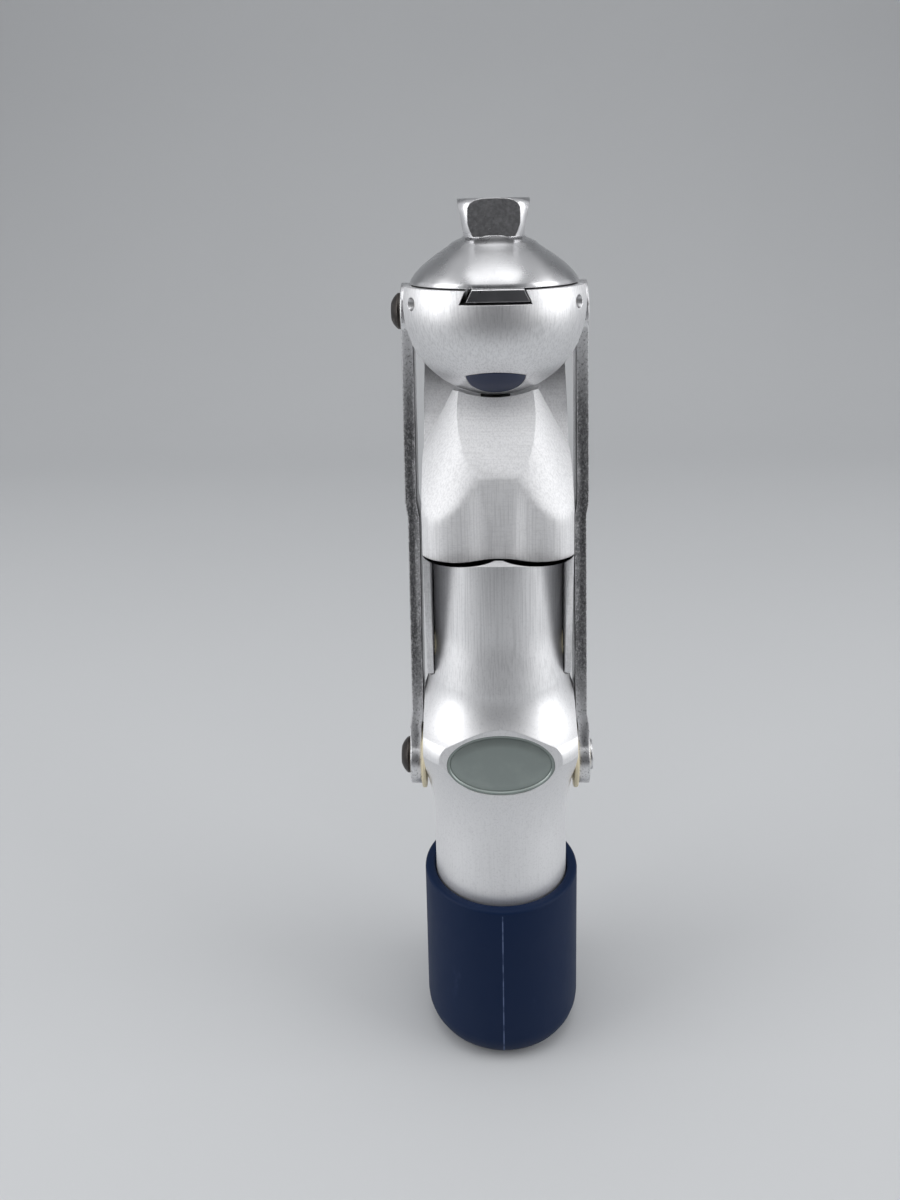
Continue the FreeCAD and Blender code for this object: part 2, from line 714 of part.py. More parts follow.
def make_head():
    bowl = revolved("bowl_turned", [
        ("0", "bowl_low", "bowl_radius", 1),
        ("bowl_rim", "head_top"),
        ("0", "head_top"),
    ], y="head_y")
    relief = []
    for side, x in (("right", "rear_lug_half + side_gap"), ("left", "-tool_reach")):
        length = "tool_reach - rear_lug_half - side_gap"
        relief.append(cylinder(f"arm_relief_{side}", "relief_radius", length, x=x,
                               y="link_head_y", z="link_head_z", turn="X"))
    lug_parts = [block("rear_lug_web", ("-rear_lug_half", "rear_lug_half"), ("head_y", "slot_y"),
                       ("slot_z - rear_lug_radius", "slot_z + rear_lug_radius"))]
    slot_parts = [block("slot_web", ("-tool_reach", "tool_reach"),
                        ("slot_y - slot_half", "slot_y + slot_half"),
                        ("slot_z - slot_radius", "slot_z + slot_radius"))]
    for end, sign in (("front", "-"), ("rear", "+")):
        lug_parts.append(cylinder(f"rear_lug_{end}", "rear_lug_radius", "2 * rear_lug_half",
                                  x="-rear_lug_half", y=f"slot_y {sign} slot_half", z="slot_z", turn="X"))
        slot_parts.append(cylinder(f"slot_{end}", "slot_radius", "2 * tool_reach", x="-tool_reach",
                                   y=f"slot_y {sign} slot_half", z="slot_z", turn="X"))
    lug = fuse("rear_lug", *lug_parts, block("rear_lug_tail", ("-rear_lug_half", "rear_lug_half"),
               ("slot_y - slot_half", "slot_y + slot_half"),
               ("slot_z - rear_lug_radius", "slot_z + rear_lug_radius")))
    blank = fuse("head_blank", cut("bowl_relieved", bowl, *relief), lug)
    groove = padded("groove", "XZ", [
        ("-groove_bottom_half", "groove_floor"),
        ("groove_bottom_half", "groove_floor"),
        ("groove_top_half", "head_top"),
        ("-groove_top_half", "head_top"),
    ], "tool_reach", "2 * tool_reach")
    tools = [
        block("head_flat_right", ("head_flat", "tool_reach"), ("flat_front", "tool_reach"),
              ("bowl_low", "head_top + tool_over")),
        block("head_flat_left", ("-tool_reach", "-head_flat"), ("flat_front", "tool_reach"),
              ("bowl_low", "head_top + tool_over")),
        groove,
        cylinder("axle_tunnel", "axle_radius + side_gap", "2 * tool_reach", x="-tool_reach",
                 y="bar_head_y", z="bar_head_z", turn="X"),
        fuse("link_slot", *slot_parts),
        cut("inlay_pocket", inlay_prism("inlay_pocket_prism", "seat_gap"),
            ball("inlay_pocket_floor", "bowl_radius - inlay_depth", y="head_y", z="bowl_center")),
    ]
    for side, sign in (("right", ""), ("left", "-")):
        tools.append(cylinder(f"head_bush_seat_{side}", "head_bush_radius + run_gap", "tool_reach",
                              x=f"{sign}(head_flat - head_bush_length - run_gap)",
                              y="bar_head_y", z="bar_head_z", turn=f"{sign}X"))
        tools.append(cylinder(f"set_screw_hole_{side}", "set_screw_radius + run_gap", "tool_reach",
                              x=f"{sign}groove_top_half", y="screw_row_y", z="screw_row_z",
                              turn=f"{sign}X"))
    node("joint_head", cut("head", blank, *tools))
    inlay = common("inlay_solid", inlay_prism("inlay_prism", "0"),
                   ball("inlay_skin", "bowl_radius + inlay_proud", y="head_y", z="bowl_center"))
    node("head_inlay", cut("inlay", inlay, ball("inlay_back", "bowl_radius - inlay_depth + run_gap",
                                                y="head_y", z="bowl_center")))
    for side, sign in (("right", ""), ("left", "-")):
        screw = cylinder(f"set_screw_{side}_stem", "set_screw_radius",
                         "bowl_radius - groove_bottom_half - 3 * set_screw_sunk",
                         x=f"{sign}(groove_bottom_half + run_gap)", y="screw_row_y", z="screw_row_z",
                         turn=f"{sign}X")
        node(f"head_set_screw_{side}", screw)


# adapter: dovetail key, dome and pyramid

def make_adapter():
    dome = revolved("dome_turned", [
        ("0", "dome_low"),
        ("dome_base", "dome_low"),
        ("dome_base", "dome_shoulder", "dome_radius", 1),
        ("0", "dome_high"),
    ], y="head_y")
    neck = revolved("neck_turned", [
        ("0", "neck_low"),
        ("neck_spread", "neck_low"),
        ("pyramid_neck", "pyramid_low"),
        ("0", "pyramid_low"),
    ], y="head_y")
    turned = revolved("pyramid_turned_blank", [
        ("0", "pyramid_low"),
        ("pyramid_turned", "pyramid_low"),
        ("pyramid_rim", "pyramid_edge", "pyramid_round", 1),
        ("pyramid_top_radius", "pyramid_top"),
        ("0", "pyramid_top"),
    ], y="head_y")
    wedges = []
    for plane, shift in (("XZ", "tool_reach"), ("YZ", "-tool_reach")):
        corners = [("-pyramid_foot", "pyramid_low"), ("pyramid_foot", "pyramid_low"),
                   ("pyramid_half", "pyramid_top"), ("-pyramid_half", "pyramid_top")]
        wedge = padded(f"pyramid_{plane}", plane, corners, shift, "2 * tool_reach")
        centre = "head_y + tool_reach" if plane == "XZ" else "head_y"
        wedge.setExpression("Placement.Base.y", formula(centre))
        wedges.append(wedge)
    key = padded("adapter_key", "XZ", [
        ("-key_low_left", "key_floor"),
        ("key_low_right", "key_floor"),
        ("key_top_right", "dome_low"),
        ("-key_top_left", "dome_low"),
    ], "head_y + bowl_rim - key_back", "2 * (bowl_rim - key_back)")
    pyramid = common("pyramid_solid", turned, *wedges)
    node("pyramid_plate", fuse("adapter", dome, neck, pyramid, key))


# fork link: two front lobes that sweep up into a throat, cheeks and ears below, arms behind

def limb(name, sign, low, high):
    run_x = f"({sign}({high}_x - {low}_x))"
    run_y = f"({high}_y - {low}_y)"
    run_z = f"({high}_z - {low}_z)"
    cone = bind(doc.addObject("Part::Cone", name), Radius1=f"{low}_radius", Radius2=f"{high}_radius",
                Height=f"sqrt({run_x}^2 + {run_y}^2 + {run_z}^2)")
    place(cone, f"{sign}{low}_x", f"{low}_y", f"{low}_z")
    cone.setExpression("Placement.Rotation.Angle", formula(f"atan(sqrt({run_x}^2 + {run_y}^2) / {run_z})"))
    cone.setExpression("Placement.Rotation.Axis.x", formula(f"-{run_y}"))
    cone.setExpression("Placement.Rotation.Axis.y", formula(run_x))
    cone.setExpression("Placement.Rotation.Axis.z", "0")
    return cone


def lobe(side, sign):
    foot = cylinder(f"lobe_{side}_foot", "brow_radius", "brow_z - lobe_low", x=f"{sign}brow_x", y="brow_y",
                    z="lobe_low")
    lower = limb(f"lobe_{side}_lower", sign, "brow", "waist")
    upper = limb(f"lobe_{side}_upper", sign, "waist", "throat")
    knuckles = [ball(f"lobe_{side}_{level}", f"{level}_radius",
                     f"{sign}{level}_x", f"{level}_y", f"{level}_z")
                for level in ("brow", "waist")]
    return [foot, lower, upper, *knuckles]


def make_link():
    web = padded("link_web", "YZ", [
        ("brow_y", "lobe_low"),
        ("column_radius", "lobe_low"),
        ("web_rear_y", "web_rear_z"),
        ("web_top_y", "web_top_z"),
        ("throat_y", "throat_z"),
        ("waist_y", "waist_z"),
        ("brow_y", "brow_z"),
    ], "-arm_inner", "2 * arm_inner")
    wings = padded("link_wings", "YZ", [
        ("wing_low_y", "lobe_low"),
        ("column_radius", "lobe_low"),
        ("arm_rear_y", "arm_rear_z"),
        ("arm_front_y", "arm_front_z"),
        ("wing_front_y", "wing_front_z"),
        ("wing_low_y", "wing_brow"),
    ], "-link_half", "2 * link_half")
    boss = cylinder("arm_boss_drum", "arm_boss", "2 * link_half", x="-link_half",
                    y="link_head_y", z="link_head_z", turn="X")
    cheek = padded("link_cheek", "YZ", [
        ("ear_front", "link_foot_z"),
        ("ear_rear", "link_foot_z"),
        ("column_radius", "lobe_low"),
        ("brow_y", "lobe_low"),
    ], "-link_half", "2 * link_half")
    ear = cylinder("link_ear", "ear_radius", "2 * link_half", x="-link_half",
                   y="link_foot_y", z="link_foot_z", turn="X")
    fill = block("valley_fill", ("-valley_half", "valley_half"), ("valley_floor", "0"),
                 ("lobe_low", "throat_z"))
    under = block("lobe_under", ("-tool_reach", "tool_reach"), ("-tool_reach", "tool_reach"),
                  ("lobe_low - brow_radius", "lobe_low"))
    lobes = cut("lobes_trimmed", fuse("lobes", *lobe("right", ""), *lobe("left", "-")), under)
    blank = fuse("link_blank", lobes, web, wings, boss, cheek, ear, fill)
    facet = padded("throat_facet", "YZ", [
        ("facet_foot_y", "facet_foot_z"),
        ("facet_head_y", "facet_head_z"),
        ("-tool_reach", "facet_head_z"),
        ("-tool_reach", "facet_foot_z"),
    ], "-link_half", "2 * link_half")
    drum = cylinder("crown_sweep", "crown_bore", "2 * cheek_inner", x="-cheek_inner",
                    y="link_foot_y", z="link_foot_z", turn="X")
    bay = padded("lug_bay", "YZ", [
        ("web_top_y", "web_top_z"),
        ("web_rear_y", "web_rear_z"),
        ("tool_reach", "web_rear_z"),
        ("tool_reach", "head_top"),
        ("web_top_y", "head_top"),
    ], "-arm_inner", "2 * arm_inner")
    across = {"turn": "X", "x": "-tool_reach"}
    tools = [
        facet,
        drum,
        bay,
        cylinder("link_foot_hole", "pivot_radius + run_gap", "2 * tool_reach", y="link_foot_y",
                 z="link_foot_z", **across),
        cylinder("link_head_hole", "fork_axle_radius + run_gap", "2 * tool_reach", y="link_head_y",
                 z="link_head_z", **across),
        ball("bowl_clearance", "bowl_radius + bowl_gap", y="head_y", z="bowl_center"),
        cylinder("bumper_seat", "bumper_radius + run_gap", "bowl_low - bumper_low",
                 y="head_y", z="bumper_low"),
    ]
    node("fork_link", cut("link", blank, *tools))
    node("fork_axle", cylinder("fork_axle_rod", "fork_axle_radius", "2 * link_half", x="-link_half",
                               y="link_head_y", z="link_head_z", turn="X"))
    node("link_axle", cylinder("link_axle_rod", "pivot_radius", "2 * link_half", x="-link_half",
                               y="link_foot_y", z="link_foot_z", turn="X"))
    node("extension_bumper", cylinder("bumper", "bumper_radius", "bowl_low - side_gap - bumper_low",
                                      y="head_y", z="bumper_low"))
    for side, sign in (("right", ""), ("left", "-")):
        sleeve = cylinder(f"link_bush_{side}_sleeve", "bush_radius", "column_flat - lever_slot_half",
                          x=f"{sign}lever_slot_half", y="link_foot_y", z="link_foot_z", turn=f"{sign}X")
        hole = cylinder(f"link_bush_{side}_hole", "bush_bore", "2 * tool_reach",
                        y="link_foot_y", z="link_foot_z", **across)
        bore = cylinder(f"link_bush_{side}_window", "gland_radius", "2 * tool_reach", y="cylinder_y")
        node(f"link_bush_{side}", cut(f"link_bush_{side}_solid", sleeve, hole, bore))


# swing control: crank, rod, piston, gland and the two adjusters

def make_swing_control():
    width = {"turn": "X", "x": "-lever_half"}
    hub = cylinder("lever_hub_disc", "lever_hub", "2 * lever_half",
                   y="link_foot_y", z="link_foot_z", **width)
    tip = cylinder("lever_tip_disc", "lever_tip", "2 * lever_half", y="pin_y", z="pin_z", **width)
    arm = doc.addObject("Part::Box", "lever_arm")
    bind(arm, Length="2 * lever_half", Width="lever_reach", Height="2 * lever_tip")
    place(arm, "-lever_half", "link_foot_y + lever_tip * sin(lever_angle)",
          "link_foot_z - lever_tip * cos(lever_angle)")
    arm.setExpression("Placement.Rotation.Angle", formula("lever_angle"))
    arm.setExpression("Placement.Rotation.Axis.x", "1")
    arm.setExpression("Placement.Rotation.Axis.z", "0")
    holes = [
        cylinder("lever_hub_hole", "pivot_radius + run_gap", "2 * tool_reach", x="-tool_reach",
                 y="link_foot_y", z="link_foot_z", turn="X"),
        cylinder("lever_pin_hole", "crank_pin_radius + run_gap", "2 * tool_reach", x="-tool_reach",
                 y="pin_y", z="pin_z", turn="X"),
    ]
    node("crank_lever", cut("lever", fuse("lever_blank", hub, tip, arm), *holes))
    node("crank_pin", cylinder("crank_pin_rod", "crank_pin_radius", "2 * crank_pin_half",
                               x="-crank_pin_half", y="pin_y", z="pin_z", turn="X"))
    rod = cylinder("rod_stem", "rod_radius", "rod_top + tool_over - piston_high",
                   y="cylinder_y", z="piston_high")
    head = block("rod_fork", ("-crank_pin_half", "crank_pin_half"), ("fork_front", "fork_rear"),
                 ("rod_top", "pin_z + fork_above"))
    gap = block("rod_fork_gap", ("-fork_inner", "fork_inner"), ("0", "tool_reach"),
                ("pin_z - fork_gap", "pin_z + tool_reach"))
    slot = block("rod_fork_slot", ("-tool_reach", "tool_reach"),
                 ("fork_front + fork_lip_front", "fork_rear - fork_lip_rear"),
                 ("pin_z - crank_pin_radius - side_gap", "pin_z + crank_pin_radius + side_gap"))
    node("piston_rod", cut("rod", fuse("rod_blank", rod, head), gap, slot))
    piston = revolved("piston_turned", [
        ("0", "piston_low"),
        ("piston_radius", "piston_low"),
        ("piston_radius", "seal_low"),
        ("seal_inner", "seal_low"),
        ("seal_inner", "seal_high"),
        ("piston_radius", "seal_high"),
        ("piston_radius", "piston_high"),
        ("0", "piston_high"),
    ], y="cylinder_y")
    node("piston", piston)
    ring = cylinder("seal_ring", "piston_radius", "seal_width", y="cylinder_y", z="seal_low")
    inside = cylinder("seal_ring_hole", "seal_inner", "seal_width", y="cylinder_y", z="seal_low")
    node("piston_seal", cut("seal", ring, inside))
    gland = cylinder("gland_disc", "gland_radius - run_gap", "gland_high - gland_low",
                     y="cylinder_y", z="gland_low")
    passage = cylinder("gland_hole", "rod_radius + run_gap", "2 * tool_reach", y="cylinder_y")
    node("cylinder_gland", cut("gland", gland, passage))
    for label, sign in (("flexion_adjuster", ""), ("extension_adjuster", "-")):
        stem = cylinder(f"{label}_stem", "adjuster_radius", "adjuster_length - adjuster_slot",
                        x=f"{sign}adjuster_x", y="facet_rear - adjuster_length", z="adjuster_z", turn="Y")
        slot = block(f"{label}_slot",
                     (f"{sign}adjuster_x - adjuster_slot / 2", f"{sign}adjuster_x + adjuster_slot / 2"),
                     ("facet_rear - 2 * adjuster_slot", "facet_rear"),
                     ("adjuster_z - adjuster_radius", "adjuster_z + adjuster_radius"))
        node(label, cut(f"{label}_solid", stem, slot))


def check_objects():
    for obj in doc.Objects:
        if "Invalid" in obj.State or "Error" in obj.State:
            raise RuntimeError(f"{obj.Name} failed: {obj.State}")
    for obj in nodes:
        if obj.Shape.isNull() or not obj.Shape.isValid() or obj.Shape.Volume <= 0:
            raise RuntimeError(f"{obj.Label} has no valid solid")


def main():
    fill_sheet()
    make_cap()
    make_housing()
    make_clamp_screw()
    make_oval()
    make_pivots()
    make_bars()
    make_upper_axle()
    make_head()
    make_adapter()
    make_link()
    make_swing_control()
    doc.recompute()
    check_objects()
    os.makedirs("parts", exist_ok=True)
    for obj in nodes:
        obj.Shape.exportStep(f"parts/{obj.Label}.step")
        box = obj.Shape.BoundBox
        print(f"{obj.Label}: {len(obj.Shape.Solids)} solid, {obj.Shape.Volume:.0f} mm3, "
              f"x {box.XMin:.1f} {box.XMax:.1f} y {box.YMin:.1f} {box.YMax:.1f} "
              f"z {box.ZMin:.1f} {box.ZMax:.1f}")


main()
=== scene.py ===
import bpy
import math
from mathutils import Matrix, Vector


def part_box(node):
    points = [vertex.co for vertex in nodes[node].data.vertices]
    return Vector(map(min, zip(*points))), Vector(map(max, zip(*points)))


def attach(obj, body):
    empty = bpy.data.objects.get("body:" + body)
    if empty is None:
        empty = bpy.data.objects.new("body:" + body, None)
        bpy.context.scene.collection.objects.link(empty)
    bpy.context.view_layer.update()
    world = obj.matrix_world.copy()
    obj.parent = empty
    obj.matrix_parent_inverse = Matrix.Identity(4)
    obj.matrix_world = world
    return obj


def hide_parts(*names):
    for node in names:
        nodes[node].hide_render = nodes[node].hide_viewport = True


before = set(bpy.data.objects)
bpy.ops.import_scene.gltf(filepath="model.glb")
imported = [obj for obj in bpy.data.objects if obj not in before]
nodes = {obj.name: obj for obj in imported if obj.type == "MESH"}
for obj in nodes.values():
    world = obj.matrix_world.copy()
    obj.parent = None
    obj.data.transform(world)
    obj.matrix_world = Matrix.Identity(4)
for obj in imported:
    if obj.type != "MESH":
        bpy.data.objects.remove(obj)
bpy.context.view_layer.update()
bpy.ops.object.select_all(action="DESELECT")
print("frame loaded:", len(nodes), "nodes")

mm = 0.001

# places and sizes that several pieces and finishes share

headAxisY = sum(corner.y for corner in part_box("pyramid_plate")) / 2
headRadius = 24.5 * mm
linkAxis = sum(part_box("link_axle"), Vector()) / 2
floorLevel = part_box("protective_cap")[0].z
mergeDistance = mm / 1000
flatAngle = math.radians(0.5)
roundSides = 128


# small steps of modelling

def deselectAll():
    bpy.ops.object.select_all(action="DESELECT")


def makeActive(piece):
    deselectAll()
    bpy.context.view_layer.objects.active = piece
    piece.select_set(True)


def startEditing(piece, mode="VERT", action="SELECT"):
    makeActive(piece)
    bpy.ops.object.mode_set(mode="EDIT")
    bpy.ops.mesh.select_mode(type=mode)
    bpy.ops.mesh.select_all(action=action)


def stopEditing():
    bpy.ops.object.mode_set(mode="OBJECT")


def editOnly(piece, mode, wanted):
    startEditing(piece, mode, "DESELECT")
    stopEditing()
    for part in piece.data.vertices if mode == "VERT" else piece.data.edges:
        part.select = wanted(part)
    bpy.ops.object.mode_set(mode="EDIT")


def placeInMesh(piece):
    bpy.context.view_layer.update()
    piece.data.transform(piece.matrix_world)
    piece.matrix_world = Matrix.Identity(4)
    return piece


def smoothByAngle(piece, degrees):
    makeActive(piece)
    bpy.ops.object.shade_smooth_by_angle(angle=math.radians(degrees))


def applyModifier(piece, kind, **values):
    modifier = piece.modifiers.new(kind.title(), kind)
    for key, value in values.items():
        setattr(modifier, key, value)
    makeActive(piece)
    bpy.ops.object.modifier_apply(modifier=modifier.name)


def mergedCopy(node):
    piece = bpy.data.objects.new(node, nodes[node].data.copy())
    bpy.context.scene.collection.objects.link(piece)
    startEditing(piece)
    bpy.ops.mesh.remove_doubles(threshold=mergeDistance)
    bpy.ops.mesh.customdata_custom_splitnormals_clear()
    bpy.ops.mesh.dissolve_limited(angle_limit=flatAngle)
    stopEditing()
    return piece


def sliceOff(piece, point, normal):
    startEditing(piece)
    # the operator clamps each part of the normal to 1, so it gets one of unit length
    bpy.ops.mesh.bisect(plane_co=point, plane_no=Vector(normal).normalized(),
                        use_fill=True, clear_outer=True)
    stopEditing()


def combine(piece, tool, operation):
    applyModifier(piece, "BOOLEAN", object=tool, operation=operation, solver="EXACT")
    bpy.data.objects.remove(tool, do_unlink=True)


def joinPieces(*pieces):
    makeActive(pieces[0])
    for piece in pieces:
        piece.select_set(True)
    bpy.ops.object.join()
    return pieces[0]


def turnRings(rings, centreY=0.0, sides=96):
    radius, level = rings[0]
    deselectAll()
    bpy.ops.mesh.primitive_circle_add(vertices=sides, radius=radius, fill_type="NGON",
                                      location=(0, centreY, level))
    piece = placeInMesh(bpy.context.object)
    startEditing(piece)
    for nextRadius, nextLevel in rings[1:]:
        rise = (0, 0, nextLevel - level)
        bpy.ops.mesh.extrude_region_move(TRANSFORM_OT_translate={"value": rise})
        if nextRadius != radius:
            grow = nextRadius / radius
            bpy.ops.transform.resize(value=(grow, grow, 1), center_override=(0, centreY, 0))
        radius, level = nextRadius, nextLevel
    bpy.ops.mesh.select_all(action="SELECT")
    bpy.ops.mesh.normals_make_consistent(inside=False)
    stopEditing()
    return piece


def addCylinder(radius, length, place, alongX=False):
    turn = (0, math.pi / 2, 0) if alongX else (0, 0, 0)
    bpy.ops.mesh.primitive_cylinder_add(vertices=roundSides, radius=radius, depth=length,
                                        location=place, rotation=turn)
    return placeInMesh(bpy.context.object)


def addBox(low, high):
    bpy.ops.mesh.primitive_cube_add(size=1, location=[(a + b) / 2 for a, b in zip(low, high)])
    bpy.context.object.scale = [b - a for a, b in zip(low, high)]
    return placeInMesh(bpy.context.object)


def finishPiece(piece, name, body, material, replaced):
    piece.name = name
    piece.data.name = name
    piece.data.materials.clear()
    piece.data.materials.append(material)
    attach(piece, body)
    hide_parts(*replaced)


# small steps of a finish

def addNode(tree, kind, inputs=None, **settings):
    made = tree.nodes.new(kind)
    for key, value in settings.items():
        setattr(made, key, value)
    for key, value in (inputs or {}).items():
        if isinstance(value, bpy.types.NodeSocket):
            tree.links.new(value, made.inputs[key])
        else:
            made.inputs[key].default_value = value
    return made


class Finish:
    def __init__(self, name, colour, roughness, metallic=0.0):
        self.material = bpy.data.materials.new(name)
        self.material.use_nodes = True
        self.tree = self.material.node_tree
        self.shader = self.tree.nodes["Principled BSDF"]
        self.colour = (*colour, 1)
        self.roughness = roughness
        self.shader.inputs["Base Color"].default_value = self.colour
        self.shader.inputs["Roughness"].default_value = roughness
        self.shader.inputs["Metallic"].default_value = metallic
        texture = self.node("ShaderNodeTexCoord")
        self.coordinates = texture.outputs["Object"]
        self.facing = texture.outputs["Normal"]
        self.edgeNormal = None
        self.height = None

    def node(self, kind, inputs=None, **settings):
        return addNode(self.tree, kind, inputs, **settings)

    def link(self, output, socket):
        self.tree.links.new(output, self.shader.inputs[socket])

    def vectorMath(self, operation, first, second):
        return self.node("ShaderNodeVectorMath", {0: first, 1: second}, operation=operation)

    def moved(self, centre=(0, 0, 0), scale=(1, 1, 1)):
        shifted = self.vectorMath("SUBTRACT", self.coordinates, centre).outputs[0]
        return self.vectorMath("MULTIPLY", shifted, scale).outputs[0]

    def noise(self, vector, scale=1.0, detail=3.0, roughness=0.55, distortion=0.0):
        return self.node("ShaderNodeTexNoise", {
            "Vector": vector, "Scale": scale, "Detail": detail, "Roughness": roughness,
            "Distortion": distortion}).outputs["Fac"]

    def lineNoise(self, along, scale, detail, roughness=0.6):
        return self.node("ShaderNodeTexNoise", {
            "W": along, "Scale": scale, "Detail": detail, "Roughness": roughness},
            noise_dimensions="1D").outputs["Fac"]

    def ramp(self, factor, low, high, toLow=0.0, toHigh=1.0, shape="SMOOTHSTEP"):
        return self.node("ShaderNodeMapRange", {
            "Value": factor, "From Min": low, "From Max": high, "To Min": toLow,
            "To Max": toHigh}, interpolation_type=shape).outputs["Result"]

    def math(self, operation, first, second=0.0):
        return self.node("ShaderNodeMath", {0: first, 1: second}, operation=operation).outputs[0]

    def split(self, vector=None):
        return self.node("ShaderNodeSeparateXYZ", {0: vector or self.coordinates}).outputs

    def radius(self, centreY):
        flat = self.moved((0, centreY, 0), (1, 1, 0))
        return self.node("ShaderNodeVectorMath", {0: flat}, operation="LENGTH").outputs["Value"]

    def tint(self, factor, colour):
        base = self.shader.inputs["Base Color"]
        below = base.links[0].from_socket if base.is_linked else self.colour
        mixed = self.node("ShaderNodeMix", {0: factor, 6: below, 7: (*colour, 1)},
                          data_type="RGBA")
        self.link(mixed.outputs[2], "Base Color")

    def stretch(self, along, amount):
        turned = self.node("ShaderNodeVectorTransform", {0: along}, vector_type="VECTOR",
                           convert_from="OBJECT", convert_to="WORLD")
        self.link(turned.outputs[0], "Tangent")
        self.shader.inputs["Anisotropic"].default_value = amount

    def vary(self, socket, factor, low, high):
        self.link(self.ramp(factor, 0, 1, low, high, "LINEAR"), socket)

    def varyRoughness(self, factor, spread):
        below, above = spread
        self.vary("Roughness", factor, self.roughness - below, self.roughness + above)

    def relief(self, factor, depth, mask=None):
        raised = self.math("MULTIPLY", factor, depth)
        if mask is not None:
            raised = self.math("MULTIPLY", raised, mask)
        self.height = raised if self.height is None else self.math("ADD", self.height, raised)

    def roundEdges(self, radius):
        self.edgeNormal = self.node("ShaderNodeBevel", {"Radius": radius}, samples=6).outputs[0]
        self.link(self.edgeNormal, "Normal")

    def wornEdges(self):
        normal = self.node("ShaderNodeNewGeometry").outputs["Normal"]
        turn = self.vectorMath("DOT_PRODUCT", self.edgeNormal, normal).outputs["Value"]
        return self.ramp(turn, 0.99, 0.86)

    def soften(self, radius, where):
        wide = self.node("ShaderNodeBevel", {"Radius": radius}, samples=8).outputs[0]
        mixed = self.node("ShaderNodeMix", {0: where, 4: self.edgeNormal, 5: wide},
                          data_type="VECTOR")
        self.link(mixed.outputs[1], "Normal")

    def done(self):
        bump = self.node("ShaderNodeBump", {
            "Height": self.height, "Distance": 1.0, "Strength": 1.0})
        normal = self.shader.inputs["Normal"]
        if normal.is_linked:
            self.tree.links.new(normal.links[0].from_socket, bump.inputs["Normal"])
        self.link(bump.outputs[0], "Normal")
        return self.material


# satin aluminium of the housing, the bowl and the link

satin = {
    "colour": (0.83, 0.83, 0.84),
    "edgeColour": (0.93, 0.93, 0.94),
    "edgeRadius": 0.28 * mm,
    "grainColour": (0.60, 0.60, 0.61),
    "grainAcross": 2600,
    "grainDepth": 0.011 * mm,
    "grainRange": (0.42, 0.68),
    "grainShare": 0.55,
    "speckle": 1700,
    "speckleDepth": 0.006 * mm,
    "speckleRange": (0.50, 0.72),
    "speckleShare": 0.32,
    "cloud": 45,
    "grainInRoughness": 0.6,
    "cloudInRoughness": 0.4,
    "roughSpread": (0.10, 0.10),
}
housingLook = {
    "roughness": 0.44,
    "metallic": 0.80,
    "grainAlong": 60,
    "columnRange": (106 * mm, 116 * mm),
    "grainBelowColumn": 0.25,
    "stepRadius": 7 * mm,
    "stepLower": (117 * mm, 121 * mm),
    "stepUpper": (133 * mm, 129 * mm),
}
bowlLook = {
    "roughness": 0.44,
    "metallic": 1.0,
    "grainAlong": 180,
    "ringPitch": 1800,
    "ringDepth": 0.008 * mm,
    "ringRange": (205 * mm, 196 * mm),
    "stretch": 0.6,
}
linkLook = {
    "roughness": 0.50,
    "metallic": 0.35,
    "grainAlong": 60,
    "facetNormal": (0, -0.781, 0.625),
    "facetRange": (0.985, 0.998),
    "brushScale": (80, 2600, 2600),
    "brushDepth": 0.012 * mm,
    "brushColour": (0.66, 0.66, 0.67),
    "brushRange": (0.45, 0.65),
    "brushShare": 0.35,
}


def startSatin(name, look):
    return Finish(name, satin["colour"], look["roughness"], look["metallic"])


def addSatin(finish, look, mask=None):
    finish.roundEdges(satin["edgeRadius"])
    finish.tint(finish.wornEdges(), satin["edgeColour"])
    grainScale = (satin["grainAcross"], satin["grainAcross"], look["grainAlong"])
    grain = finish.noise(finish.moved(scale=grainScale), detail=4.0)
    speckle = finish.noise(finish.coordinates, satin["speckle"], detail=2.0)
    cloud = finish.noise(finish.coordinates, satin["cloud"])
    finish.relief(grain, satin["grainDepth"], mask)
    finish.relief(speckle, satin["speckleDepth"])
    streaks = finish.ramp(grain, *satin["grainRange"], 0, satin["grainShare"])
    if mask is not None:
        streaks = finish.math("MULTIPLY", streaks, mask)
    finish.tint(streaks, satin["grainColour"])
    specks = finish.ramp(speckle, *satin["speckleRange"], 0, satin["speckleShare"])
    finish.tint(specks, satin["grainColour"])
    blotch = finish.math("ADD", finish.math("MULTIPLY", grain, satin["grainInRoughness"]),
                         finish.math("MULTIPLY", cloud, satin["cloudInRoughness"]))
    finish.varyRoughness(blotch, satin["roughSpread"])


def housingMetal():
    finish = startSatin("satinHousing", housingLook)
    z = finish.split()["Z"]
    column = finish.ramp(z, *housingLook["columnRange"], housingLook["grainBelowColumn"], 1.0)
    addSatin(finish, housingLook, column)
    nearStep = finish.math("MULTIPLY", finish.ramp(z, *housingLook["stepLower"]),
                           finish.ramp(z, *housingLook["stepUpper"]))
    finish.soften(housingLook["stepRadius"], nearStep)
    return finish.done()


def bowlMetal():
    finish = startSatin("satinBowl", bowlLook)
    addSatin(finish, bowlLook)
    z = finish.split()["Z"]
    rings = finish.lineNoise(z, bowlLook["ringPitch"], detail=4.0)
    finish.relief(rings, bowlLook["ringDepth"], finish.ramp(z, *bowlLook["ringRange"]))
    outward = finish.moved((0, headAxisY, 0))
    around = finish.vectorMath("CROSS_PRODUCT", (0, 0, 1), outward).outputs[0]
    finish.stretch(around, bowlLook["stretch"])
    return finish.done()


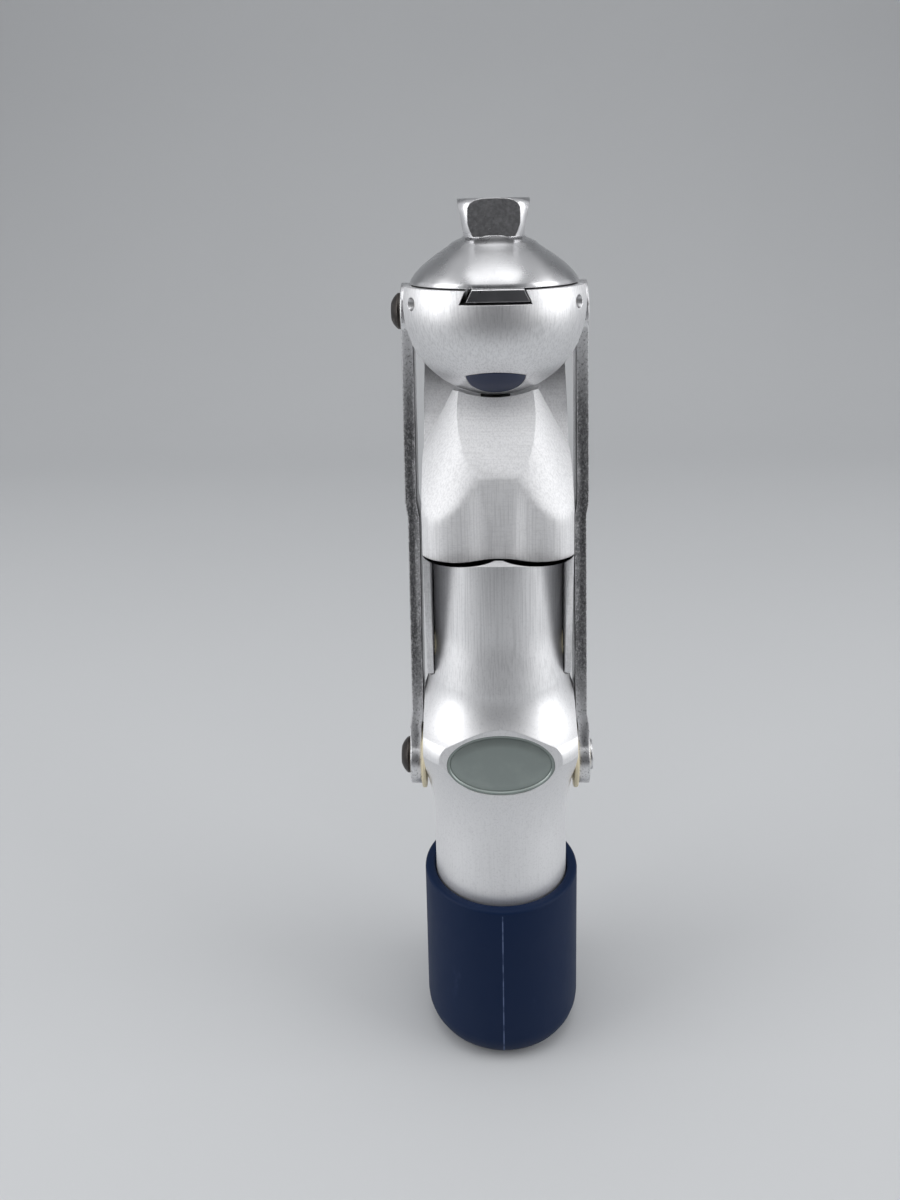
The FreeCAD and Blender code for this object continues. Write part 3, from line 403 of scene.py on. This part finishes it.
def linkMetal():
    finish = startSatin("satinLink", linkLook)
    addSatin(finish, linkLook)
    toFacet = finish.vectorMath("DOT_PRODUCT", finish.facing, linkLook["facetNormal"])
    facet = finish.ramp(toFacet.outputs["Value"], *linkLook["facetRange"])
    brush = finish.noise(finish.moved(scale=linkLook["brushScale"]), detail=4.0)
    finish.relief(brush, linkLook["brushDepth"], facet)
    brushed = finish.ramp(brush, *linkLook["brushRange"], 0, linkLook["brushShare"])
    finish.tint(brushed, linkLook["brushColour"])
    return finish.done()


# ground steel of the side bars, darkened down the middle by a painted shade band

barLook = {
    "colour": (0.72, 0.72, 0.73),
    "roughness": 0.30,
    "roughSpread": (0.08, 0.16),
    # painted shade band: its colour and the heights where it fades in and out
    "shadeBandColour": (0.20, 0.20, 0.205),
    "shadeBandLower": (92 * mm, 118 * mm),
    "shadeBandUpper": (205 * mm, 178 * mm),
    "mottleScale": (300, 300, 90),
    "shadeMottleRange": (0.25, 0.62),
    "shadeMottleShare": (0.55, 1.0),
    "speckScale": (1900, 1900, 1300),
    "speckColour": (0.80, 0.80, 0.81),
    "speckRange": (0.50, 0.64),
    "speckShare": 0.55,
    "pitColour": (0.10, 0.10, 0.10),
    "pitRange": (0.46, 0.34),
    "pitShare": 0.60,
    "edgeRadius": 0.35 * mm,
    "edgeColour": (0.85, 0.85, 0.86),
    "grindPitch": 900,
    "grindDepth": 0.010 * mm,
}


def barSteel():
    finish = Finish("groundSteel", barLook["colour"], barLook["roughness"], metallic=1.0)
    z = finish.split()["Z"]
    # painted shade: a dark mottled band between the bar ends stands in for the dark reflection
    # down the middle of each bar
    middle = finish.math("MULTIPLY", finish.ramp(z, *barLook["shadeBandLower"]),
                         finish.ramp(z, *barLook["shadeBandUpper"]))
    mottle = finish.noise(finish.moved(scale=barLook["mottleScale"]), detail=5.0, roughness=0.7)
    mottledShade = finish.ramp(mottle, *barLook["shadeMottleRange"], *barLook["shadeMottleShare"])
    finish.tint(finish.math("MULTIPLY", middle, mottledShade), barLook["shadeBandColour"])
    speck = finish.noise(finish.moved(scale=barLook["speckScale"]), roughness=0.7)
    for kind in ("speck", "pit"):
        spots = finish.ramp(speck, *barLook[kind + "Range"], 0, barLook[kind + "Share"])
        finish.tint(spots, barLook[kind + "Colour"])
    finish.roundEdges(barLook["edgeRadius"])
    finish.tint(finish.wornEdges(), barLook["edgeColour"])
    grind = finish.lineNoise(z, barLook["grindPitch"], detail=5.0, roughness=0.75)
    finish.relief(grind, barLook["grindDepth"])
    finish.varyRoughness(mottle, barLook["roughSpread"])
    return finish.done()


# polished turned steel of the dome and the pyramid; the milled faces are darkened by a painted
# dark reflection, the key under the dome by painted shade

adapterLook = {
    "colour": (0.58, 0.58, 0.59),
    "roughness": 0.26,
    "roughSpread": (0.10, 0.16),
    "keyShadeColour": (0.30, 0.30, 0.31),
    "keyTop": 218.9 * mm,
    "keyFade": 0.3 * mm,
    "faceShadeColour": (0.16, 0.16, 0.165),
    "faceMetallic": 0.35,
    "faceFoot": 231.0 * mm,
    "faceFade": 0.2 * mm,
    "faceSideways": (0.93, 0.955),
    "faceUpright": (0.5, 0.3),
    "grit": 1200,
    "gritRange": (0.2, 0.7),
    "gritShare": (0.75, 1.0),
    "edgeRadius": 0.4 * mm,
    "edgeColour": (0.95, 0.95, 0.96),
    "ringPitch": 1400,
    "ringDepth": 0.010 * mm,
    "scratchScale": (900, 60, 300),
    "scratchRange": (0.62, 0.66),
    "scratchDepth": 0.010 * mm,
    "smear": 120,
    "stretch": 0.75,
}


def milledFaces(finish, z):
    look = adapterLook
    normal = finish.split(finish.facing)
    upright = finish.ramp(finish.math("ABSOLUTE", normal["Z"]), *look["faceUpright"])
    sides = [finish.ramp(finish.math("ABSOLUTE", normal[axis]), *look["faceSideways"])
             for axis in "XY"]
    face = finish.math("MULTIPLY", finish.math("MAXIMUM", *sides), upright)
    aboveFoot = finish.ramp(z, look["faceFoot"], look["faceFoot"] + look["faceFade"])
    return finish.math("MULTIPLY", face, aboveFoot)


def adapterSteel():
    look = adapterLook
    finish = Finish("turnedSteel", look["colour"], look["roughness"], metallic=1.0)
    rings = finish.lineNoise(finish.radius(headAxisY), look["ringPitch"], detail=5.0,
                             roughness=0.7)
    z = finish.split()["Z"]
    milled = milledFaces(finish, z)
    grit = finish.noise(finish.coordinates, look["grit"], detail=4.0)
    gritty = finish.ramp(grit, *look["gritRange"], *look["gritShare"])
    # painted reflection: the milled faces are tinted dark and made less metallic to stand in for
    # the dark they reflect
    finish.tint(finish.math("MULTIPLY", milled, gritty), look["faceShadeColour"])
    finish.vary("Metallic", milled, 1.0, look["faceMetallic"])
    keyTop, keyEnd = look["keyTop"], look["keyTop"] + look["keyFade"]
    # painted shade: the dovetail key under the dome is tinted darker
    finish.tint(finish.ramp(z, keyEnd, keyTop), look["keyShadeColour"])
    finish.roundEdges(look["edgeRadius"])
    worn = finish.math("MULTIPLY", finish.wornEdges(), finish.ramp(z, keyTop, keyEnd))
    finish.tint(worn, look["edgeColour"])
    finish.relief(rings, look["ringDepth"])
    scratch = finish.noise(finish.moved(scale=look["scratchScale"]), detail=2.0, distortion=1.2)
    finish.relief(finish.ramp(scratch, *look["scratchRange"]), -look["scratchDepth"])
    smear = finish.noise(finish.coordinates, look["smear"], detail=4.0)
    finish.varyRoughness(smear, look["roughSpread"])
    finish.stretch(finish.moved((0, headAxisY, 0), (1, 1, 0)), look["stretch"])
    return finish.done()


# rubber and plastics, the cap's with a broken mould line

moulded = {
    "cloudScale": (1, 1, 0.45),
    "cloud": 95,
    "scuffSpan": 0.2,
    "scuffShare": 0.6,
    "roughSpread": (0.10, 0.14),
    "edgeRadius": 0.3 * mm,
}
mouldedColours = {
    "navyRubber": {"colour": (0.0020, 0.0120, 0.0450), "roughness": 0.50, "gloss": 0.16,
                   "grain": 900, "depth": 0.010 * mm,
                   "scuff": (0.030, 0.045, 0.100), "scuffFrom": 0.62},
    "navyPlastic": {"colour": (0.008, 0.018, 0.060), "roughness": 0.30, "gloss": 0.5,
                    "grain": 700, "depth": 0.004 * mm,
                    "scuff": (0.030, 0.045, 0.100), "scuffFrom": 0.66},
    "creamPlastic": {"colour": (0.78, 0.70, 0.50), "roughness": 0.42, "gloss": 0.5,
                     "grain": 800, "depth": 0.004 * mm,
                     "scuff": (0.55, 0.46, 0.30), "scuffFrom": 0.62},
    "blackRubber": {"colour": (0.02, 0.02, 0.02), "roughness": 0.60, "gloss": 0.3,
                    "grain": 900, "depth": 0.008 * mm,
                    "scuff": (0.06, 0.06, 0.06), "scuffFrom": 0.60},
}
mouldLine = {
    "colour": (0.11, 0.15, 0.27),
    "sideRange": (0.22 * mm, 0.08 * mm),
    "topRange": (48.2 * mm, 47.6 * mm),
    "breaks": 220,
    "breakRange": (0.38, 0.56),
    "breakShare": (0.25, 0.9),
}


def mouldedFinish(name):
    values = mouldedColours[name]
    finish = Finish(name, values["colour"], values["roughness"])
    cloud = finish.noise(finish.moved(scale=moulded["cloudScale"]), moulded["cloud"],
                         detail=6.0, roughness=0.68)
    scuffed = finish.ramp(cloud, values["scuffFrom"], values["scuffFrom"] + moulded["scuffSpan"],
                          0, moulded["scuffShare"])
    finish.tint(scuffed, values["scuff"])
    finish.relief(finish.noise(finish.coordinates, values["grain"]), values["depth"])
    finish.varyRoughness(cloud, moulded["roughSpread"])
    finish.roundEdges(moulded["edgeRadius"])
    finish.shader.inputs["Specular IOR Level"].default_value = values["gloss"]
    return finish


def capRubber():
    finish = mouldedFinish("navyRubber")
    place = finish.split()
    middle = finish.ramp(finish.math("ABSOLUTE", place["X"]), *mouldLine["sideRange"])
    breaks = finish.noise(finish.coordinates, mouldLine["breaks"])
    broken = finish.ramp(breaks, *mouldLine["breakRange"], *mouldLine["breakShare"])
    below = finish.ramp(place["Z"], *mouldLine["topRange"])
    line = finish.math("MULTIPLY", finish.math("MULTIPLY", middle, broken), below)
    finish.tint(line, mouldLine["colour"])
    return finish.done()


# blackened screws and the bare oval plate

screwLook = {
    "colour": (0.045, 0.040, 0.038),
    "roughness": 0.38,
    "roughSpread": (0.10, 0.14),
    "metallic": 0.8,
    "cloud": 420,
    "rub": (0.30, 0.26, 0.22),
    "rubRange": (0.58, 0.8),
    "edgeRadius": 0.3 * mm,
    "depth": 0.02 * mm,
}
plateLook = {
    "colour": (0.29, 0.33, 0.315),
    "roughness": 0.40,
    "roughSpread": (0.08, 0.10),
    "metallic": 0.75,
    "brush": (90, 2400, 2400),
    "depth": 0.008 * mm,
    "cloud": 130,
    "paleColour": (0.40, 0.44, 0.42),
    "paleRange": (0.45, 0.75),
    "paleShare": 0.35,
}


def screwSteel():
    look = screwLook
    finish = Finish("blackenedSteel", look["colour"], look["roughness"], look["metallic"])
    cloud = finish.noise(finish.coordinates, look["cloud"], detail=5.0, roughness=0.7)
    finish.tint(finish.ramp(cloud, *look["rubRange"]), look["rub"])
    finish.roundEdges(look["edgeRadius"])
    finish.tint(finish.wornEdges(), look["rub"])
    finish.relief(cloud, look["depth"])
    finish.varyRoughness(cloud, look["roughSpread"])
    return finish.done()


def plateMetal():
    look = plateLook
    finish = Finish("plateGrey", look["colour"], look["roughness"], look["metallic"])
    brush = finish.noise(finish.moved(scale=look["brush"]), detail=4.0)
    cloud = finish.noise(finish.coordinates, look["cloud"], detail=4.0)
    finish.relief(brush, look["depth"])
    pale = finish.ramp(cloud, *look["paleRange"], 0, look["paleShare"])
    finish.tint(pale, look["paleColour"])
    finish.varyRoughness(cloud, look["roughSpread"])
    return finish.done()


looks = {
    "housing": housingMetal(),
    "bowl": bowlMetal(),
    "link": linkMetal(),
    "bar": barSteel(),
    "adapter": adapterSteel(),
    "dark": screwSteel(),
    "plate": plateMetal(),
    "navyRubber": capRubber(),
    "navyPlastic": mouldedFinish("navyPlastic").done(),
    "cream": mouldedFinish("creamPlastic").done(),
    "blackRubber": mouldedFinish("blackRubber").done(),
}
nodeLooks = {
    "housing": ["lower_housing", "cylinder_gland", "piston", "crank_lever"],
    "bowl": ["joint_head"],
    "link": ["fork_link"],
    "bar": ["side_bar_right", "side_bar_left", "upper_axle", "fork_axle", "link_axle",
            "crank_pin", "piston_rod", "pivot_screw_right", "clamp_screw"],
    "adapter": ["pyramid_plate"],
    "dark": ["axle_button", "pivot_screw_left", "head_set_screw_right", "head_set_screw_left",
             "flexion_adjuster", "extension_adjuster"],
    "plate": ["emblem_plate"],
    "navyRubber": ["protective_cap"],
    "navyPlastic": ["head_inlay"],
    "cream": ["pivot_bush_right", "pivot_bush_left", "head_bush_right", "head_bush_left",
              "link_bush_right", "link_bush_left"],
    "blackRubber": ["piston_seal", "extension_bumper"],
}
for look, names in nodeLooks.items():
    for name in names:
        mesh = nodes[name].data
        mesh.materials.clear()
        mesh.materials.append(looks[look])
print("finishes given to", sum(len(names) for names in nodeLooks.values()), "nodes")


# protective cap: a turned rubber sleeve with a rolled rim and a fine mould line

capShape = {
    "floorRound": 8.0 * mm,
    "floorSteps": 7,
    "floorThick": 4.0 * mm,
    "wallInside": 19.4 * mm,
    "wallRings": (0.35, 0.7),
    "rimRound": 0.9 * mm,
    "rimSteps": 4,
    "lineHalf": 0.16 * mm,
    "lineProud": 0.10 * mm,
    "smoothAngle": 40,
}


def capProfile(outside, height):
    floorRound, rimRound = capShape["floorRound"], capShape["rimRound"]
    inside, floorThick = capShape["wallInside"], capShape["floorThick"]
    rings = []
    for step in range(capShape["floorSteps"] + 1):
        turn = math.pi / 2 * step / capShape["floorSteps"]
        rings.append((outside - floorRound + floorRound * math.sin(turn),
                      floorRound * (1 - math.cos(turn))))
    for share in capShape["wallRings"]:
        rings.append((outside, floorRound + share * (height - floorRound - rimRound)))
    for step in range(capShape["rimSteps"] + 1):
        turn = math.pi / 2 * step / capShape["rimSteps"]
        rings.append((outside - rimRound * (1 - math.cos(turn)),
                      height - rimRound * (1 - math.sin(turn))))
    rings += [(inside + rimRound / 2, height), (inside, height - rimRound / 2),
              (inside, floorThick), (inside / 2, floorThick)]
    return rings


def raiseMouldLine(cap):
    wall = capShape["wallInside"] + capShape["rimRound"]

    def onLine(edge):
        ends = [cap.data.vertices[i].co for i in edge.vertices]
        atMiddle = all(abs(end.x) < mm / 100 and abs(end.y) > wall for end in ends)
        return atMiddle and ends[0].z != ends[1].z

    editOnly(cap, "EDGE", onLine)
    bpy.ops.mesh.bevel(offset=capShape["lineHalf"], segments=2, clamp_overlap=False)
    proud = 1 + capShape["lineProud"] / wall
    bpy.ops.transform.resize(value=(1, proud, 1), center_override=(0, 0, 0))
    stopEditing()


def makeCap():
    low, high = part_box("protective_cap")
    cap = turnRings(capProfile((high.x - low.x) / 2, high.z - low.z))
    raiseMouldLine(cap)
    smoothByAngle(cap, capShape["smoothAngle"])
    finishPiece(cap, "capSleeve", "cap", looks["navyRubber"], ["protective_cap"])


makeCap()
print("cap made")


# bare oval plate: a pressed rim round a slightly crowned field

plateShape = {
    "sides": 96,
    "rimWidth": 0.55 * mm,
    "grooveWidth": 0.30 * mm,
    "grooveDepth": 0.35 * mm,
    "fieldInset": 2.4 * mm,
    "crown": 0.10 * mm,
    "smoothAngle": 30,
}


def makePlate():
    shape = plateShape
    low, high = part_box("emblem_plate")
    deselectAll()
    bpy.ops.mesh.primitive_circle_add(
        vertices=shape["sides"], radius=1, fill_type="NGON", rotation=(math.pi / 2, 0, 0),
        location=((low.x + high.x) / 2, high.y, (low.z + high.z) / 2))
    bpy.context.object.scale = ((high.x - low.x) / 2, (high.z - low.z) / 2, 1)
    plate = placeInMesh(bpy.context.object)
    startEditing(plate, "FACE")
    bpy.ops.mesh.extrude_region_move(TRANSFORM_OT_translate={"value": (0, low.y - high.y, 0)})
    for width, inward in ((shape["rimWidth"], 0), (shape["grooveWidth"], shape["grooveDepth"]),
                          (shape["grooveWidth"], -shape["grooveDepth"] / 2),
                          (shape["fieldInset"], -shape["crown"])):
        bpy.ops.mesh.inset(thickness=width)
        bpy.ops.transform.translate(value=(0, inward, 0))
    bpy.ops.mesh.select_all(action="SELECT")
    bpy.ops.mesh.normals_make_consistent(inside=False)
    stopEditing()
    smoothByAngle(plate, shape["smoothAngle"])
    finishPiece(plate, "ovalPlate", "shank", looks["plate"], ["emblem_plate"])


makePlate()
print("oval plate made")


# machined pieces: a merged copy of the solid's mesh with its edges broken by a real chamfer

chamfer = {"segments": 2, "fromAngle": 40, "smoothAngle": 40}
chamfered = {
    "sideBarRight": {"node": "side_bar_right", "body": "bars", "slot": "ground_steel",
                     "look": "bar", "width": 0.35 * mm},
    "sideBarLeft": {"node": "side_bar_left", "body": "bars", "slot": "ground_steel",
                    "look": "bar", "width": 0.35 * mm},
    "flangeBushRight": {"node": "pivot_bush_right", "body": "bars", "slot": "cream_plastic",
                        "look": "cream", "width": 0.25 * mm},
    "flangeBushLeft": {"node": "pivot_bush_left", "body": "bars", "slot": "cream_plastic",
                       "look": "cream", "width": 0.25 * mm},
    "discScrewRight": {"node": "pivot_screw_right", "body": "shank", "slot": "ground_steel",
                       "look": "bar", "width": 0.2 * mm},
}


def breakEdges(name, values):
    piece = mergedCopy(values["node"])
    applyModifier(piece, "BEVEL", width=values["width"], segments=chamfer["segments"],
                  limit_method="ANGLE", angle_limit=math.radians(chamfer["fromAngle"]),
                  use_clamp_overlap=True)
    smoothByAngle(piece, chamfer["smoothAngle"])
    finishPiece(piece, name, values["body"], looks[values["look"]],
                [values["node"]])


for name, values in chamfered.items():
    breakEdges(name, values)
print("edges broken on", len(chamfered), "pieces")


# pyramid plate: the dovetail key of the solid under a fuller dome and a taller pyramid

adapterShape = {
    "keyTop": 219.2 * mm,
    "domeRings": (
        (21.9, 219.3), (22.1, 219.4), (22.1, 220.0), (21.8, 220.6), (20.9, 221.9), (19.8, 223.1),
        (18.5, 224.3), (17.0, 225.5), (15.4, 226.7), (13.6, 227.9), (12.2, 228.8), (11.4, 229.5),
        (10.8, 230.0), (9.6, 230.5), (8.6, 230.9), (7.9, 231.5)),
    "pyramidRings": (
        (9.3, 231.3), (9.9, 232.6), (10.5, 234.6), (10.9, 236.8), (11.1, 238.6), (10.95, 239.6),
        (10.5, 240.4), (9.8, 240.85), (9.2, 241.0)),
    "faceLow": (7.6, 231.3),
    "faceHigh": (9.4, 241.0),
    "sides": 4,
    "smoothAngle": 30,
}


def turnAdapterRings(rings):
    return turnRings([(radius * mm, level * mm) for radius, level in rings], headAxisY, roundSides)


def makeAdapter():
    shape = adapterShape
    key = mergedCopy("pyramid_plate")
    sliceOff(key, (0, 0, shape["keyTop"]), (0, 0, 1))
    dome = turnAdapterRings(shape["domeRings"])
    pyramid = turnAdapterRings(shape["pyramidRings"])
    (halfLow, low), (halfHigh, high) = shape["faceLow"], shape["faceHigh"]
    for side in range(shape["sides"]):
        turn = Matrix.Rotation(side * 2 * math.pi / shape["sides"], 3, "Z")
        outward = turn @ Vector((high - low, 0, halfLow - halfHigh))
        foot = turn @ Vector((halfLow * mm, 0, low * mm))
        sliceOff(pyramid, foot + Vector((0, headAxisY, 0)), outward)
    adapter = joinPieces(dome, pyramid, key)
    smoothByAngle(adapter, shape["smoothAngle"])
    finishPiece(adapter, "pyramidAdapter", "head", looks["adapter"],
                ["pyramid_plate"])


makeAdapter()
print("pyramid plate made")


# fork link: the rear of the solid behind a front of two broad lobes with a channel, a cone
# and a facet, blended by remeshing

linkShape = {
    "low": 151.0 * mm,
    "high": 200.0 * mm,
    "spareBelow": 8.0 * mm,
    "spareAround": 2.0 * mm,
    "overlap": 1.0 * mm,
    "half": 19.55 * mm,
    "back": 3.0 * mm,
    "rearFrom": -10.0 * mm,
    "lobeX": 10.5 * mm,
    "lobeY": -13.9 * mm,
    "lobeRadius": 10.0 * mm,
    "channelHalf": 6.0 * mm,
    "channelFront": -20.7 * mm,
    "channelLean": -2.6 * mm,
    "coneSides": 192,
    "coneY": -1.0 * mm,
    "coneLow": 140.0 * mm,
    "coneTip": 213.2 * mm,
    "coneSlope": 0.52,
    "voxel": 0.7 * mm,
    "blendFactor": 0.5,
    "blendSteps": 34,
    "facetFoot": (0, -27.2 * mm, 165.5 * mm),
    "facetInside": (0, -27.1 * mm, 165.4 * mm),
    "facetNormal": (0, -24.5, 19.6),
    "drumRadius": 35.8 * mm,
    "drumHalf": 17.9 * mm,
    "bowlSides": 96,
    "bowlRings": 48,
    "bowlGap": 1.2 * mm,
    "seatRadius": 4.05 * mm,
    "seatHeights": 4,
    "smoothAngle": 32,
}


def addChannel(low, high):
    shape = linkShape
    channel = addBox((-shape["channelHalf"], shape["channelFront"], low),
                     (shape["channelHalf"], shape["lobeY"] + shape["overlap"], high))
    editOnly(channel, "VERT", lambda vertex: vertex.co.y < shape["lobeY"]
             and vertex.co.z > low + shape["overlap"])
    bpy.ops.transform.translate(value=(0, shape["channelLean"], 0))
    stopEditing()
    return channel


def addCone():
    shape = linkShape
    height = shape["coneTip"] - shape["coneLow"]
    bpy.ops.mesh.primitive_cone_add(
        vertices=shape["coneSides"], radius1=shape["coneSlope"] * height, radius2=0,
        depth=height, location=(0, shape["coneY"], shape["coneLow"] + height / 2))
    return placeInMesh(bpy.context.object)


def addBowl():
    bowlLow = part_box("joint_head")[0]
    bpy.ops.mesh.primitive_uv_sphere_add(
        segments=linkShape["bowlSides"], ring_count=linkShape["bowlRings"],
        radius=headRadius + linkShape["bowlGap"],
        location=(0, headAxisY, bowlLow.z + headRadius))
    return placeInMesh(bpy.context.object)


def addBumperSeat():
    low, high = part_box("extension_bumper")
    depth = linkShape["seatHeights"] * (high.z - low.z)
    return addCylinder(linkShape["seatRadius"], depth, (0, headAxisY, low.z + depth / 2))


def makeLinkFront():
    shape = linkShape
    low, high = shape["low"] - shape["spareBelow"], shape["high"]
    halfWidth = shape["half"] + shape["spareAround"]
    front = addBox((-halfWidth, shape["lobeY"], low),
                   (halfWidth, shape["back"] + shape["spareAround"], high))
    combine(front, addChannel(low, high), "UNION")
    for side in (-1, 1):
        centre = (side * shape["lobeX"], shape["lobeY"], (low + high) / 2)
        combine(front, addCylinder(shape["lobeRadius"], high - low, centre), "UNION")
    combine(front, addCone(), "INTERSECT")
    applyModifier(front, "REMESH", mode="VOXEL", voxel_size=shape["voxel"])
    applyModifier(front, "SMOOTH", factor=shape["blendFactor"], iterations=shape["blendSteps"])
    for side in (-1, 1):
        sliceOff(front, (side * shape["half"], 0, 0), (side, 0, 0))
    sliceOff(front, (0, 0, shape["low"]), (0, 0, -1))
    sliceOff(front, shape["facetFoot"], shape["facetNormal"])
    drum = addCylinder(shape["drumRadius"], 2 * shape["drumHalf"], (0, linkAxis.y, linkAxis.z),
                       alongX=True)
    combine(front, drum, "DIFFERENCE")
    combine(front, addBowl(), "DIFFERENCE")
    combine(front, addBumperSeat(), "DIFFERENCE")
    return front


def makeLink():
    shape = linkShape
    lower = mergedCopy("fork_link")
    sliceOff(lower, (0, 0, shape["low"]), (0, 0, 1))
    upper = mergedCopy("fork_link")
    sliceOff(upper, (0, 0, shape["low"]), (0, 0, -1))
    sliceOff(upper, (0, shape["rearFrom"], 0), (0, -1, 0))
    sliceOff(upper, shape["facetInside"], shape["facetNormal"])
    link = joinPieces(makeLinkFront(), upper, lower)
    smoothByAngle(link, shape["smoothAngle"])
    finishPiece(link, "forkLinkBody", "link", looks["link"], ["fork_link"])


makeLink()
print("fork link made")


# studio: a pale sweep darkened towards the camera by painted shade, three soft lamps, a soft room
# and the camera of the photograph

paper = {
    "colour": (0.62, 0.63, 0.64),
    "roughness": 0.75,
    "cloud": 3,
    "cloudColour": (0.59, 0.60, 0.61),
    "cloudRange": (0.35, 0.75),
    "cloudShare": 0.3,
    "frontShadeColour": (0.10, 0.10, 0.105),
    "frontShadeRange": (-0.17, -0.42),
    "width": 3.0,
    "back": 1.1,
    "front": 1.2,
    "height": 1.6,
    "curve": 0.45,
    "curveSegments": 16,
    "smoothAngle": 32,
}
room = {
    "bright": (0.80, 0.81, 0.83),
    "dark": (0.06, 0.062, 0.068),
    "sideRange": (0.42, 0.86),
    "topRange": (0.40, 1.0),
}
lamps = {
    "leftBox": {"place": (-0.72, -0.26, 0.36), "aim": (0, 0, 0.13), "size": (0.50, 0.90),
                "power": 3.0},
    "rightBox": {"place": (0.74, -0.20, 0.34), "aim": (0, 0, 0.13), "size": (0.50, 0.90),
                 "power": 3.0},
    "topBox": {"place": (0.0, -0.18, 0.85), "aim": (0, 0, 0.16), "size": (0.60, 0.50),
               "power": 1.2},
}
photoCamera = {
    "place": (-3.3 * mm, -261.6 * mm, 240.1 * mm),
    "pitchDown": 11.68,
    "yaw": 1.96,
    "roll": -1.21,
    "lens": 29.85,
    "sensorWidth": 36,
    "shiftUp": -0.16,
    "nearest": 0.01,
}


def makeSweep():
    deselectAll()
    middle = (paper["back"] - paper["front"]) / 2
    bpy.ops.mesh.primitive_plane_add(size=1, location=(0, middle, floorLevel))
    bpy.context.object.scale = (paper["width"], paper["back"] + paper["front"], 1)
    sweep = placeInMesh(bpy.context.object)
    sweep.name = "paleSweep"

    def endsOf(edge):
        return [sweep.data.vertices[i].co for i in edge.vertices]

    editOnly(sweep, "EDGE", lambda edge: all(end.y > 0 for end in endsOf(edge)))
    bpy.ops.mesh.extrude_region_move(TRANSFORM_OT_translate={"value": (0, 0, paper["height"])})
    stopEditing()
    editOnly(sweep, "EDGE", lambda edge: all(
        abs(end.y - paper["back"]) < mm and abs(end.z - floorLevel) < mm for end in endsOf(edge)))
    bpy.ops.mesh.bevel(offset=paper["curve"], segments=paper["curveSegments"])
    stopEditing()
    smoothByAngle(sweep, paper["smoothAngle"])
    finish = Finish("palePaper", paper["colour"], paper["roughness"])
    cloud = finish.noise(finish.coordinates, paper["cloud"])
    clouded = finish.ramp(cloud, *paper["cloudRange"], 0, paper["cloudShare"])
    finish.tint(clouded, paper["cloudColour"])
    # painted shade: the floor towards the camera, in front of the object, is tinted dark so the
    # metal reflects a dark front
    finish.tint(finish.ramp(finish.split()["Y"], *paper["frontShadeRange"]), paper["frontShadeColour"])
    sweep.data.materials.append(finish.material)


def makeLamps():
    for name, values in lamps.items():
        deselectAll()
        bpy.ops.object.light_add(type="AREA", location=values["place"])
        lamp = bpy.context.object
        lamp.name = name
        lamp.data.shape = "RECTANGLE"
        lamp.data.size, lamp.data.size_y = values["size"]
        lamp.data.energy = values["power"]
        aim = Vector(values["aim"]) - lamp.location
        lamp.rotation_euler = aim.to_track_quat("-Z", "Y").to_euler()


def makeWorld():
    world = bpy.data.worlds.new("softRoom")
    bpy.context.scene.world = world
    world.use_nodes = True
    tree = world.node_tree
    ray = addNode(tree, "ShaderNodeTexCoord").outputs["Generated"]
    direction = addNode(tree, "ShaderNodeSeparateXYZ", {0: ray}).outputs
    sideways = addNode(tree, "ShaderNodeMath", {0: direction["X"]}, operation="ABSOLUTE")
    glow = []    # bright towards the sides and above, dark straight before the object
    for value, (low, high) in ((sideways.outputs[0], room["sideRange"]),
                               (direction["Z"], room["topRange"])):
        glow.append(addNode(tree, "ShaderNodeMapRange", {
            "Value": value, "From Min": low, "From Max": high}).outputs[0])
    brightest = addNode(tree, "ShaderNodeMath", {0: glow[0], 1: glow[1]}, operation="MAXIMUM")
    mixed = addNode(tree, "ShaderNodeMix", {
        0: brightest.outputs[0], 6: (*room["dark"], 1), 7: (*room["bright"], 1)},
        data_type="RGBA")
    tree.links.new(mixed.outputs[2], tree.nodes["Background"].inputs["Color"])


def makeCamera():
    deselectAll()
    bpy.ops.object.camera_add(location=photoCamera["place"])
    camera = bpy.context.object
    camera.name = "photoCamera"
    look = Matrix.Rotation(math.radians(photoCamera["yaw"]), 4, "Z")
    look = look @ Matrix.Rotation(math.radians(90 - photoCamera["pitchDown"]), 4, "X")
    look = look @ Matrix.Rotation(math.radians(photoCamera["roll"]), 4, "Z")
    camera.rotation_euler = look.to_euler()
    camera.data.lens = photoCamera["lens"]
    camera.data.sensor_width = photoCamera["sensorWidth"]
    camera.data.shift_y = photoCamera["shiftUp"]
    camera.data.clip_start = photoCamera["nearest"]
    bpy.context.scene.camera = camera


makeSweep()
makeLamps()
makeWorld()
makeCamera()
bpy.context.scene.view_settings.view_transform = "Standard"
print("studio and camera ready")
